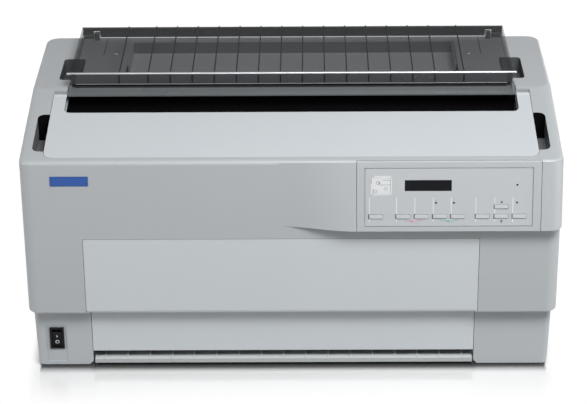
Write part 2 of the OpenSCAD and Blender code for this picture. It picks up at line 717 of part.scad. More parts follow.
// Control panel
module panel_housing() color("#c3c8cb") {
    on_panel() for (x = [face_left - 1, face_right + 1], v = [face_top + 16, face_bottom - 7])
        translate([x, wall + 0.5, -v]) rotate([-90, 0, 0]) cylinder(r = 3, h = board_w - 3.5 - wall);
    difference() {
        along_x(panel_left, panel_right) polygon([
            [-case_front - bulge_depth * 2 / panel_h, panel_top - 1.4], [-case_front - bulge_depth, bulge_z],
            [-case_front + 12, bulge_z], [-case_front + 12, panel_top - 20],
            [-case_front + 5.5, panel_top - 16],
            [-case_front + 5.5, panel_top - wall - 0.6], [-case_front + 2.6, panel_top - wall - 0.6],
            [-case_front + 2.6, panel_top], [-case_front + 0.8, panel_top]]);
        along_x(panel_left + wall, panel_right - wall) polygon([
            [-case_front + wall + 0.6, panel_top - 2 * wall - 1],
            [-case_front - bulge_depth + wall + 1, bulge_z + wall], [-case_front + 13, bulge_z + wall],
            [-case_front + 13, panel_top - 23], [-case_front + 6.5, panel_top - 20],
            [-case_front + 6.5, panel_top - 2 * wall - 1]]);
        on_panel() slab([face_left - seam, -1, -face_bottom - seam],
                        [face_right + seam, face_recess + panel_skin, -face_top + seam]);
        on_panel() slab([face_left + 4, -1, -face_bottom + 3], [face_right - 4, 10, -face_top - 3]);
    }
}

module panel_face() color("#c6cbcd") on_panel() difference() {
    slab([face_left, face_recess, -face_bottom], [face_right, face_recess + panel_skin, -face_top]);
    for (i = [0:8]) slab([key_x[i] - key_w / 2 - key_gap, 0, -key_v[i] - key_h / 2 - key_gap],
                         [key_x[i] + key_w / 2 + key_gap, 5, -key_v[i] + key_h / 2 + key_gap]);
    for (p = lamp_at) translate([p[0], 0, -p[1]]) rotate([-90, 0, 0]) cylinder(r = lamp_r, h = 5);
    slab([display_x[0], 0, -display_v[1]], [display_x[1], 5, -display_v[0]]);
}

module display_window() color("#17191c") on_panel() {
    slab([display_x[0], face_recess + 0.2, -display_v[1]],
         [display_x[1], face_recess + panel_skin, -display_v[0]]);
    slab([display_x[0] - 3, face_recess + panel_skin, -display_v[1] - 3],
         [display_x[1] + 3, board_w - 3, -display_v[0] + 3]);
}

module status_lamps() color("#303438") on_panel() for (p = lamp_at) translate([p[0], 0, -p[1]])
    rotate([-90, 0, 0]) translate([0, 0, face_recess + 0.1])
        cylinder(r = lamp_r, h = board_w - face_recess - 3.1);

module panel_board() color("#2f6b45") on_panel() {
    slab([face_left - 5, board_w - 3, -face_bottom + 2], [face_right + 5, board_w - 1.4, -face_top - 13]);
    for (i = [0:8]) translate([key_x[i], 0, -key_v[i]])
        slab([-3, key_back + key_travel + 0.3, -2], [3, board_w - 2.9, 2]);
}

module key_cap(i) color("#d4d8da") on_panel() translate([key_x[i], 0, -key_v[i]]) {
    slab([-key_w / 2, -0.5, -key_h / 2], [key_w / 2, face_recess + panel_skin + 0.3, key_h / 2]);
    slab([-key_w / 2 - 1, face_recess + panel_skin + 0.1, -key_h / 2 - 1],
         [key_w / 2 + 1, key_back, key_h / 2 + 1]);
}
module key_1() key_cap(0);
module key_2() key_cap(1);
module key_3() key_cap(2);
module key_4() key_cap(3);
module key_5() key_cap(4);
module key_6() key_cap(5);
module key_7() key_cap(6);
module key_8() key_cap(7);
module key_9() key_cap(8);

// Side frames: steel plates that stand on the base and carry every shaft
module frame_plate() difference() {
    union() {
        translate([-case_front + 27, floor_z]) square([300, 60]);
        translate([-case_front + 27, floor_z]) square([50, head_at_z + 30 - floor_z]);
        translate([-130, 120]) square([272, platen_at[1] + 36 - 120]);
        polygon([[-60, floor_z + 50], [-60, 130], [152, 130], [152, floor_z + 50]]);
    }
    translate([0, 92]) circle(30);
    translate([80, 92]) circle(30);
    translate([50, 190]) circle(26);
    translate([110, 190]) circle(20);
}

module frame_holes() {
    for (s = [-1, 1]) {
        x0 = s * frame_x - 8;
        rod_x(x0, x0 + 16, platen_at, shaft_r + running);
        rod_x(x0, x0 + 16, guide_at, guide_r);
        rod_x(x0, x0 + 16, front_shaft_at, journal_r + running);
        rod_x(x0, x0 + 16, rear_shaft_at, journal_r + running);
        rod_x(x0, x0 + 16, front_support_at, support_r);
        rod_x(x0, x0 + 16, rear_support_at, support_r);
    }
}

module frame_foot(x0, x1) for (y = [-case_front + 35, 100])
    slab([x0, y, floor_z], [x1, y + 40, floor_z + frame_t]);

module left_frame() color("#9ca1a5") difference() {
    union() {
        along_x(-frame_x - frame_t, -frame_x) frame_plate();
        frame_foot(-frame_x - 16, -frame_x);
    }
    frame_holes();
}

module right_frame() color("#9ca1a5") difference() {
    union() {
        along_x(frame_x, frame_x + frame_t) frame_plate();
        frame_foot(frame_x, frame_x + 16);
        slab([belt_half - 10, guide_at[0] + 8, belt_z - 10], [frame_x + 1, guide_at[0] + 10, belt_z + 10]);
        translate([belt_half, 0, belt_z]) along_y(guide_at[0] - 7, guide_at[0] + 9) circle(3);
        for (p = [front_idler_at, rear_idler_at]) rod_x(frame_x + 1, gear_x - 0.3, p, 7);
        for (p = [front_idler_at, rear_idler_at]) rod_x(frame_x + 1, gear_x + gear_w + 2, p, 4);
    }
    frame_holes();
    rod_x(frame_x - cut, frame_x + frame_t + cut, pinion_at, 11);
}

// Sheet-metal members between the frames: lower stays, carriage rail and the front chute
module frame_stays() color("#868b90") {
    along_x(-frame_x, frame_x) {
        polygon([[-125, 40], [-125, 52], [-123, 52], [-123, 42], [-95, 42], [-95, 40]]);
        polygon([[100, 62], [100, 74], [102, 74], [102, 64], [140, 64], [140, 62]]);
        translate([rail_at[0], rail_at[1]]) square([10, 3]);
    }
    chute = [[front_shaft_at[0] - 9, front_shaft_at[1] + 22], [-90, belt_z - 19], [-66, belt_z - 8],
             [-57, belt_z + 12], [-55, platen_at[1] - 26]];
    back = [for (i = [4:-1:0]) chute[i] + [1.6, i > 2 ? -1 : -1.6]];
    along_x(-chute_half, chute_half) polygon(concat(chute, back));
    both_sides() along_x(chute_half - 2, chute_half) polygon([
        [-97, 41], [-95, 41], [-60, belt_z - 4], [-68, belt_z - 8.5]]);
    along_x(-frame_x, frame_x) translate(platen_at) polygon([
        [58, 6], [36, -18], [20, -26], [20, -27.6], [37, -20], [59.6, 5]]);
    along_x(-frame_x, frame_x) translate(platen_at) polygon([
        [24, 26], [25.6, 26], [35.6, platen_drop - 6], [34, platen_drop - 6]]);
}

// Head carriage on its round guide shaft
module carriage_shaft() color("#c9ccd0") rod_x(-frame_x - 6, frame_x + 4.5, guide_at, guide_r);

module carriage() color("#3a3e42") difference() {
    union() {
        translate([home_x, 0, 0]) {
            rod_x(-42, 42, guide_at, guide_r + 6);
            slab([-40, -120, guide_at[1] - 11], [40, -82, head_at_z - head_r]);
            slab([-30, rail_at[0] + 1, rail_at[1] + 3.3], [30, -118, rail_at[1] + 9]);
            slab([-12, guide_at[0] - 7, belt_z + belt_r - 4], [12, guide_at[0] + 7, guide_at[1] - 10]);
            slab([-26, -124, head_at_z - head_r - 2], [26, -78, head_at_z - head_r + 4]);
        }
    }
    rod_x(home_x - 50, home_x + 50, guide_at, guide_r + running);
    slab([home_x - 20, guide_at[0] - belt_w / 2 - 0.4, belt_z + belt_r - 0.4],
         [home_x + 20, guide_at[0] + belt_w / 2 + 0.4, belt_z + belt_r + belt_t + 0.4]);
    translate([home_x, -130, head_at_z]) rotate([-90, 0, 0]) cylinder(r = head_r + 0.02, h = 60);
}

module print_head() color("#2a2c2f") translate([home_x, 0, head_at_z]) rotate([-90, 0, 0]) {
    translate([0, 0, -126]) cylinder(r = head_r - 3, h = 46);
    for (y = [-126:5:-86]) translate([0, 0, y]) cylinder(r = head_r, h = 2.4);
    translate([0, 0, -81]) cylinder(r1 = head_r - 4, r2 = 7, h = 20);
    translate([-4, -8, -63]) cube([8, 16, 63 + ribbon_y - 1.4]);
}

// Ribbon cartridge: flat case across the front, an arm at each end, and the ribbon between their tips
module ribbon_cartridge() color("#1c1e20") {
    low = head_at_z + head_r + 1.6;
    arm = belt_half - 10;
    front = -case_front + 26;
    slab([-arm, front, low], [arm, front + 25, low + 18]);
    both_sides() slab([arm - 1, front + 2, low + 2], [frame_x, front + 21, low + 6]);
    both_sides() slab([arm - 18, front + 24, low + 2], [arm, -62, low + 14]);
    both_sides() slab([arm - 12, -70, head_at_z - 10], [arm - 4, ribbon_y + 0.3, low + 4]);
    slab([-arm + 6, ribbon_y, head_at_z - 8], [arm - 6, ribbon_y + 0.3, head_at_z + 6]);
}

module belt_loop(r) {
    for (s = [-1, 1]) translate([s * belt_half, 0]) circle(r);
    translate([-belt_half, -r]) square([2 * belt_half, 2 * r]);
}

module carriage_belt() color("#1a1a1a")
    translate([0, 0, belt_z]) along_y(guide_at[0] - belt_w / 2, guide_at[0] + belt_w / 2)
        difference() { belt_loop(belt_r + belt_t); belt_loop(belt_r + 0.02); }

module pulley(x, bore_r) translate([x, 0, belt_z])
    along_y(guide_at[0] - belt_w / 2 - 2, guide_at[0] + belt_w / 2 + 2) difference() {
        circle(belt_r - 0.3);
        circle(bore_r);
    }

module drive_pulley() color("#b8860b") pulley(-belt_half, 3);
module idler_pulley() color("#b8860b") pulley(belt_half, 3 + running);

module carriage_motor() color("#5b6066") translate([-belt_half, 0, belt_z]) {
    along_y(guide_at[0] + belt_w / 2 + 6, guide_at[0] + belt_w / 2 + 62) circle(27);
    along_y(guide_at[0] + belt_w / 2 + 5, guide_at[0] + belt_w / 2 + 8)
        round_rect([belt_half - frame_x, -28], [28, 28], 4);
    along_y(guide_at[0] - belt_w / 2 - 3, guide_at[0] + belt_w / 2 + 6) circle(3 - running);
}

// Platen and the feed gears
module platen_shaft() color("#c9ccd0") rod_x(-frame_x - 5, gear_x + gear_w + 3, platen_at, shaft_r);

module platen_roller() color("#1d1f21") difference() {
    rod_x(-platen_half, platen_half, platen_at, platen_r);
    rod_x(-platen_half - cut, platen_half + cut, platen_at, shaft_r);
}

front_idler_off = mesh(platen_teeth, 0, idler_teeth, front_angle);
rear_idler_off = mesh(platen_teeth, 0, idler_teeth, rear_idler_angle);
front_shaft_off = mesh(idler_teeth, front_idler_off, tractor_teeth, front_angle);
rear_shaft_off = mesh(idler_teeth, rear_idler_off, tractor_teeth, rear_shaft_angle);
pinion_off = mesh(idler_teeth, front_idler_off, pinion_teeth, pinion_angle);

module platen_gear() color("#e6e2d6") gear(platen_at, platen_teeth, 0, shaft_r);
module front_idler_gear() color("#e6e2d6") gear(front_idler_at, idler_teeth, front_idler_off, 4 + running);
module rear_idler_gear() color("#e6e2d6") gear(rear_idler_at, idler_teeth, rear_idler_off, 4 + running);
module feed_pinion() color("#b8860b") gear(pinion_at, pinion_teeth, pinion_off, 3);

module feed_motor() color("#5b6066") {
    rod_x(frame_x - 58, frame_x, pinion_at, 26);
    rod_x(frame_x - 1, frame_x + frame_t, pinion_at, 10.9);
    rod_x(frame_x, gear_x + gear_w + 1, pinion_at, 3 - running);
}

module tractor_shaft(at, off) {
    translate([-frame_x + 2, at[0] - square_s / 2, at[1] - square_s / 2])
        cube([2 * frame_x - 4, square_s, square_s]);
    rod_x(-frame_x - 4, gear_x + gear_w + 1, at, journal_r);
    gear(at, tractor_teeth, off, 2);
}
module front_tractor_shaft() color("#b9bdc1") tractor_shaft(front_shaft_at, front_shaft_off);
module rear_tractor_shaft() color("#b9bdc1") tractor_shaft(rear_shaft_at, rear_shaft_off);

module tractor_rails() color("#c9ccd0")
    for (p = [front_support_at, rear_support_at]) rod_x(-frame_x - 5, frame_x + 4.5, p, support_r);

// One tractor, drawn for the left end of the front pair: pins face -Y, the outer side is -X
pin_pitch = 12.7;
drum_r = 13.2;
pin_len = 4.5;
gate_pivot = [-7, -16];

module tractor_form() {
    difference() {
        union() {
            along_x(-4, 0) stadium(drum_r + 2, support_drop);
            along_x(-0.1, 10) stadium(drum_r, support_drop);
            for (k = [0:3]) translate([5, -drum_r + 1, -3.5 - k * pin_pitch]) rotate([90, 0, 0])
                cylinder(r = 1.7, h = pin_len + 1, $fn = 24);
            for (z = [-6, -43]) slab([gate_pivot[0] - 2, gate_pivot[1] - 1.1, z], [-3, -8, z + 4]);
            translate([gate_pivot[0], gate_pivot[1], -43]) cylinder(r = 1.5, h = 41);
        }
        along_x(-10, 20) circle(square_s * 0.72 + 0.3);
        translate([0, 0, -support_drop]) along_x(-10, 20) circle(support_r + running);
        along_x(3, 20) difference() { translate([-8, -support_drop + 11]) square([14, support_drop - 22]); }
    }
}

module gate_form() difference() {
    union() {
        translate([gate_pivot[0], gate_pivot[1], -38.6]) cylinder(r = 2.9, h = 32.2);
        slab([gate_pivot[0], gate_pivot[1] - 2.9, -38.6], [-3, gate_pivot[1] - 1.4, -6.4]);
        slab([-4, gate_pivot[1] - 2.9, -48], [12, gate_pivot[1] - 1.4, 4]);
        slab([10.6, gate_pivot[1] - 2.9, -48], [12, gate_pivot[1] + 1, 4]);
    }
    translate([gate_pivot[0], gate_pivot[1], -60]) cylinder(r = 1.5 + running, h = 80);
    slab([2.2, gate_pivot[1] - 4, -46], [7.8, gate_pivot[1], 2]);
}

module at_tractor(at, side, lay_back) translate([side * tractor_x, at[0], at[1]])
    rotate([lay_back ? -90 : 0, 0, 0]) mirror([side > 0 ? 1 : 0, 0, 0]) children();

module front_left_tractor() color("#3b4046") at_tractor(front_shaft_at, -1, false) tractor_form();
module front_right_tractor() color("#3b4046") at_tractor(front_shaft_at, 1, false) tractor_form();
module rear_left_tractor() color("#3b4046") at_tractor(rear_shaft_at, -1, true) tractor_form();
module rear_right_tractor() color("#3b4046") at_tractor(rear_shaft_at, 1, true) tractor_form();
module front_left_gate() color("#7d848a") at_tractor(front_shaft_at, -1, false) gate_form();
module front_right_gate() color("#7d848a") at_tractor(front_shaft_at, 1, false) gate_form();
module rear_left_gate() color("#7d848a") at_tractor(rear_shaft_at, -1, true) gate_form();
module rear_right_gate() color("#7d848a") at_tractor(rear_shaft_at, 1, true) gate_form();

// Tray under the smoked cover and the plate that leads paper up from the rear slot
module rear_paper_guide() color("#6f7579") {
    half = well_half - 1;
    floor = top_z - well_depth;
    under = top_z - wall;
    along_x(-half, half) polygon([
        [well_rear - 0.8, under], [well_rear - 0.8, floor], [tray_front, floor], [tray_front, floor - 8],
        [tray_front + 1.6, floor - 8], [tray_front + 1.6, floor - 1.6], [well_rear + 0.8, floor - 1.6],
        [well_rear + 0.8, under - 2], [well_rear + 6, under - 2], [well_rear + 6, under]]);
    both_sides() slab([half - 1.6, tray_front + 2, floor - 1], [half, well_rear, under]);
    both_sides() slab([half - 1.6, tray_front + 2, under - 2], [half + 9, well_rear, under]);
    along_x(-half, half) polygon([
        [case_rear - wall, 138], [case_rear - wall, 149], [140, 236], [131, 243], [131, 241], [138.8, 235],
        [case_rear - wall - 2, 148], [case_rear - wall - 2, 138]]);
}

// Power supply with the mains inlet, and the main board with its connectors
module power_supply() color("#8b9094") {
    slab([-frame_x + 10, base_rear - 167, floor_z], [-frame_x + 150, base_rear - 37, inlet_z[1] - 4]);
    difference() {
        union() {
            slab([inlet_x[0] + 1.2, base_rear - 38, inlet_z[0] + 1.2],
                 [inlet_x[1] - 1.2, base_rear - 0.5, inlet_z[1] - 1.2]);
            slab([inlet_x[0] - 1, base_rear, inlet_z[0] - 1],
                 [inlet_x[1] + 1, base_rear + 1.5, inlet_z[1] + 1]);
            slab([inlet_x[0] + 2, base_rear - 2, inlet_z[0] + 2],
                 [inlet_x[1] - 2, base_rear + 1, inlet_z[1] - 2]);
        }
        slab([inlet_x[0] + 12, base_rear - 16, inlet_z[0] + 5],
             [inlet_x[1] - 12, base_rear + 3, inlet_z[1] - 5]);
    }
    inlet_mid = (inlet_x[0] + inlet_x[1]) / 2;
    for (p = [[-6, 12], [0, 16], [6, 12]])
        slab([inlet_mid + p[0] - 1, base_rear - 17, inlet_z[0] + p[1] - 3],
             [inlet_mid + p[0] + 1, base_rear - 5, inlet_z[0] + p[1] + 1]);
}

module main_board() color("#2f6b45") {
    board_z = floor_z + 6;
    slab([-100, base_rear - 247, board_z], [frame_x - 40, base_rear - 15, board_z + 1.6]);
    for (x = [-90, 80, frame_x - 50], d = [237, 127, 27])
        translate([x, base_rear - d, floor_z]) cylinder(r = 4, h = 6.5);
    for (x = [-60, 0, 60, 120], d = [207, 137])
        slab([x, base_rear - d, board_z + 1], [x + 34, base_rear - d + 34, board_z + 5]);
    for (p = ports) difference() {
        slab([p[0], base_rear - 26, board_z + 1], [p[0] + p[1], base_rear + 0.6, port_z + p[2]]);
        slab([p[0] + 1.5, base_rear - 8, port_z + 1.5],
             [p[0] + p[1] - 1.5, base_rear + 2, port_z + p[2] - 1.5]);
        slab([p[0] - cut, base_rear - 3.2, 10], [p[0] + p[1] + cut, base_rear + 3, port_z]);
    }
}

lower_case();
upper_case();
rubber_feet();
name_plate();
top_cover();
hinge_pins();
rear_cover();
rod_brackets();
flap_rod();
tear_off_flap();
front_cover();
front_paper_guide();
switch_frame();
switch_rocker();
panel_housing();
panel_face();
display_window();
status_lamps();
panel_board();
key_1();
key_2();
key_3();
key_4();
key_5();
key_6();
key_7();
key_8();
key_9();
left_frame();
right_frame();
frame_stays();
carriage_shaft();
carriage();
print_head();
ribbon_cartridge();
carriage_belt();
carriage_motor();
drive_pulley();
idler_pulley();
platen_shaft();
platen_roller();
platen_gear();
feed_motor();
feed_pinion();
front_idler_gear();
rear_idler_gear();
front_tractor_shaft();
rear_tractor_shaft();
tractor_rails();
front_left_tractor();
front_right_tractor();
rear_left_tractor();
rear_right_tractor();
front_left_gate();
front_right_gate();
rear_left_gate();
rear_right_gate();
rear_paper_guide();
power_supply();
main_board();
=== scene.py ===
"""Dressed model of a wide-carriage dot matrix printer.

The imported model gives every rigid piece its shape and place. This script rounds and finishes those
pieces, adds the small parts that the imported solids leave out, and sets up the studio.
"""

import json
import logging
import math
from dataclasses import dataclass, field
from enum import Enum
from functools import cache
from typing import Callable

import bpy
from mathutils import Matrix, Vector


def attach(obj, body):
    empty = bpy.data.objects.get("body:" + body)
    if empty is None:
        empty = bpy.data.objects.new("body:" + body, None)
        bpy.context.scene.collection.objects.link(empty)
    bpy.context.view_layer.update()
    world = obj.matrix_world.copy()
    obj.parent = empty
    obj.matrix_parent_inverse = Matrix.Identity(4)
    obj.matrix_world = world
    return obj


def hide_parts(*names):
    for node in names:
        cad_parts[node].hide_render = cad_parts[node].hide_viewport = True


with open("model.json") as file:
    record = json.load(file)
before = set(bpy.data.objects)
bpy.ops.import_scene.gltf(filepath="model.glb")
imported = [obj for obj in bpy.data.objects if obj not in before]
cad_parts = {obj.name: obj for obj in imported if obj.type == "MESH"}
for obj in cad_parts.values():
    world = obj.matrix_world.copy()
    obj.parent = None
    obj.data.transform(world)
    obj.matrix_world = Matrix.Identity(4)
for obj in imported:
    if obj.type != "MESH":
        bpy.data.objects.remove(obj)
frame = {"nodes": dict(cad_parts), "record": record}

log = logging.getLogger("printer")

Point = tuple[float, float, float]
Colour = tuple[float, float, float]
Range = tuple[float, float]
Mark = tuple[float, float, float, float]
Socket = bpy.types.NodeSocket
Piece = bpy.types.Object

CASE_FRONT = -0.175
CREASE_Z = 0.309
DECK_SLOPE = 0.1771
MM = 0.001
WELD = 0.00001
SLIVER_AREA = 5e-7
SLIVER_SHARE = 0.01


class Slot(Enum):
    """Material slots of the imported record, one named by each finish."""

    CASE = "case_plastic"
    BASE = "base_plastic"
    COVER = "cover_plastic"
    GUIDE = "guide_plastic"
    SMOKED = "smoked_plastic"
    BLACK = "black_plastic"
    DARK = "dark_plastic"
    WHITE = "white_plastic"
    KEY = "key_plastic"
    BLUE = "plate_blue"
    DISPLAY = "display_glass"
    RUBBER = "rubber"
    STEEL = "steel"
    ZINC = "zinc_plate"
    CHROME = "chrome"
    BRASS = "brass"
    HEAD = "head_metal"
    BOARD = "board_green"


class Axis(Enum):
    """Direction in which a turned piece is laid, as the turn from upright."""

    X = (0.0, math.pi / 2, 0.0)
    Y = (math.pi / 2, 0.0, 0.0)


# ---------------------------------------------------------------- node groups and finishes


class NodeSketch:
    """A shader node tree under construction."""

    def __init__(self, tree: bpy.types.NodeTree) -> None:
        """Starts work on a tree."""
        self.tree = tree

    def add(self, kind: str, **settings: object) -> bpy.types.Node:
        """Adds a node and sets its properties.

        Args:
            kind: Node type, without the ShaderNode prefix.
            **settings: Properties of the node.

        Returns:
            The new node.
        """
        node = self.tree.nodes.new("ShaderNode" + kind)
        for key, value in settings.items():
            setattr(node, key, value)
        return node

    def feed(self, target: Socket, value: Socket | float | Colour) -> None:
        """Feeds a socket with a link, a number or a colour."""
        if isinstance(value, bpy.types.NodeSocket):
            self.tree.links.new(value, target)
        else:
            target.default_value = (*value, 1.0) if isinstance(value, tuple) else value

    def combine(self, operation: str, first: Socket | float, second: Socket | float = 0.0) -> Socket:
        """Combines two values with a math node.

        Args:
            operation: Operation of the math node.
            first: First value.
            second: Second value.

        Returns:
            The result's socket.
        """
        node = self.add("Math", operation=operation)
        self.feed(node.inputs[0], first)
        self.feed(node.inputs[1], second)
        return node.outputs[0]

    def noise(self, place: Socket, scale: Socket | float, detail: float = 2.0,
              roughness: float = 0.5) -> Socket:
        """Adds a noise texture.

        Args:
            place: Coordinates of the texture.
            scale: Its scale.
            detail: Its detail.
            roughness: Its roughness.

        Returns:
            The socket of its value.
        """
        node = self.add("TexNoise")
        for name, value in zip(("Vector", "Scale", "Detail", "Roughness"), (place, scale, detail, roughness)):
            self.feed(node.inputs[name], value)
        return node.outputs["Fac"]

    def ranged(self, value: Socket, source: Range, target: Range = (0.0, 1.0),
               kind: str = "LINEAR") -> Socket:
        """Maps a value from one range to another.

        Args:
            value: Value to map.
            source: Range that it comes from.
            target: Range that it goes to.
            kind: Interpolation between the ends.

        Returns:
            The result's socket.
        """
        node = self.add("MapRange", interpolation_type=kind)
        for name, number in zip(("From Min", "From Max", "To Min", "To Max"), (*source, *target)):
            node.inputs[name].default_value = number
        self.feed(node.inputs["Value"], value)
        return node.outputs[0]

    def tones(self, share: Socket, first: Socket | Colour, second: Socket | Colour) -> Socket:
        """Mixes two colours.

        Args:
            share: Share of the second colour.
            first: First colour.
            second: Second colour.

        Returns:
            The mixed colour's socket.
        """
        node = self.add("Mix", data_type="RGBA")
        # The colour sockets of this node have names that others share, so they are taken by number.
        for number, value in ((0, share), (6, first), (7, second)):
            self.feed(node.inputs[number], value)
        return node.outputs[2]

    def shaders(self, share: Socket, first: bpy.types.Node, second: bpy.types.Node) -> bpy.types.Node:
        """Mixes two shaders.

        Args:
            share: Share of the second shader.
            first: First shader.
            second: Second shader.

        Returns:
            The mixing node.
        """
        node = self.add("MixShader")
        for number, value in enumerate((share, first.outputs[0], second.outputs[0])):
            self.feed(node.inputs[number], value)
        return node


class GroupSketch(NodeSketch):
    """A shader node group under construction."""

    def __init__(self, name: str, takes: dict[str, float], gives: tuple[str, ...]) -> None:
        """Starts a group with its sockets.

        Args:
            name: Name of the group.
            takes: Label and default of each input.
            gives: Label of each output.
        """
        super().__init__(bpy.data.node_groups.new(name, "ShaderNodeTree"))
        for label, value in takes.items():
            socket = self.tree.interface.new_socket(label, in_out="INPUT", socket_type="NodeSocketFloat")
            socket.default_value = value
        for label in gives:
            self.tree.interface.new_socket(label, in_out="OUTPUT", socket_type="NodeSocketFloat")
        self.taken = self.tree.nodes.new("NodeGroupInput").outputs
        self.given = self.tree.nodes.new("NodeGroupOutput").inputs


@cache
def mould_grain_group() -> bpy.types.NodeTree:
    """Builds the effect of spark-eroded mould grain with soft flow marks.

    Returns:
        A group with Height, Mottle and Dust outputs.
    """
    sketch = GroupSketch("Mould grain", {"Grain size": 1500.0, "Mottle size": 7.0},
                         ("Height", "Mottle", "Dust"))
    place = sketch.add("TexCoord").outputs["Object"]
    grain = sketch.noise(place, sketch.taken["Grain size"], roughness=0.6)
    mottle = sketch.noise(place, sketch.taken["Mottle size"], detail=4.0)
    facing = sketch.add("SeparateXYZ")
    sketch.feed(facing.inputs[0], sketch.add("NewGeometry").outputs["Normal"])
    upward = sketch.ranged(facing.outputs["Z"], (0.5, 1.0))
    sketch.feed(sketch.given["Height"], grain)
    sketch.feed(sketch.given["Mottle"], mottle)
    sketch.feed(sketch.given["Dust"], sketch.combine("MULTIPLY", upward, mottle))
    return sketch.tree


@cache
def drawn_metal_group() -> bpy.types.NodeTree:
    """Builds the effect of drawn or ground metal with fine lines along X.

    Returns:
        A group with Height and Streak outputs.
    """
    sketch = GroupSketch("Drawn metal", {"Line size": 900.0}, ("Height", "Streak"))
    place = sketch.add("TexCoord").outputs["Object"]
    stretch = sketch.add("Mapping")
    stretch.inputs["Scale"].default_value = (0.02, 1.0, 1.0)
    sketch.feed(stretch.inputs["Vector"], place)
    lines = sketch.noise(stretch.outputs[0], sketch.taken["Line size"], detail=3.0)
    broad = sketch.noise(place, 30.0)
    sketch.feed(sketch.given["Height"], lines)
    sketch.feed(sketch.given["Streak"], sketch.combine("MULTIPLY", lines, broad))
    return sketch.tree


@dataclass(frozen=True)
class Finish:
    """A finish: name, record slot, colours and the numbers of its shader."""

    name: str
    slot: Slot
    colour: Colour
    other: Colour
    roughness: float = 0.45
    spread: float = 0.08
    grain: float = 1500.0
    depth: float = 0.00003
    mottle: float = 7.0
    metallic: float = 0.0
    coat: float = 0.0
    shine: float = 0.5
    alpha: float = 1.0
    dust: float = 0.0
    dust_colour: Colour = (0.42, 0.41, 0.39)
    drawn: bool = False

    def build(self) -> bpy.types.Material:
        """Builds the finish as a material.

        Returns:
            The new material.
        """
        material = bpy.data.materials.new(self.name)
        material.use_nodes = True
        sketch = NodeSketch(material.node_tree)
        shader = sketch.tree.nodes["Principled BSDF"]
        shader.inputs["Metallic"].default_value = self.metallic
        shader.inputs["IOR"].default_value = 1.5
        shader.inputs["Specular IOR Level"].default_value = self.shine
        shader.inputs["Coat Weight"].default_value = self.coat
        shader.inputs["Coat Roughness"].default_value = 0.08
        shader.inputs["Alpha"].default_value = self.alpha
        if self.drawn:
            effect = sketch.add("Group", node_tree=drawn_metal_group())
            effect.inputs["Line size"].default_value = self.grain
            mask = effect.outputs["Streak"]
        else:
            effect = sketch.add("Group", node_tree=mould_grain_group())
            effect.inputs["Grain size"].default_value = self.grain
            effect.inputs["Mottle size"].default_value = self.mottle
            mask = effect.outputs["Mottle"]
        colour = sketch.tones(mask, self.colour, self.other)
        if self.dust and not self.drawn:
            dust = sketch.combine("MULTIPLY", effect.outputs["Dust"], self.dust)
            colour = sketch.tones(dust, colour, self.dust_colour)
        sketch.feed(shader.inputs["Base Color"], colour)
        smoothest, roughest = max(0.03, self.roughness - self.spread), min(1.0, self.roughness + self.spread)
        sketch.feed(shader.inputs["Roughness"], sketch.ranged(mask, (0.0, 1.0), (smoothest, roughest)))
        bump = sketch.add("Bump")
        bump.inputs["Strength"].default_value = 0.6
        bump.inputs["Distance"].default_value = self.depth
        sketch.feed(bump.inputs["Height"], effect.outputs["Height"])
        sketch.feed(shader.inputs["Normal"], bump.outputs[0])
        return material


@cache
def paint(finish: Finish) -> bpy.types.Material:
    """Returns the material of a finish, building it on first use."""
    return finish.build()


def ink(name: str, slot: Slot, colour: Colour, other: Colour) -> Finish:
    """Returns the finish of a printed mark."""
    return Finish(name, slot, colour, other, 0.45, grain=4000.0, depth=0.000005)


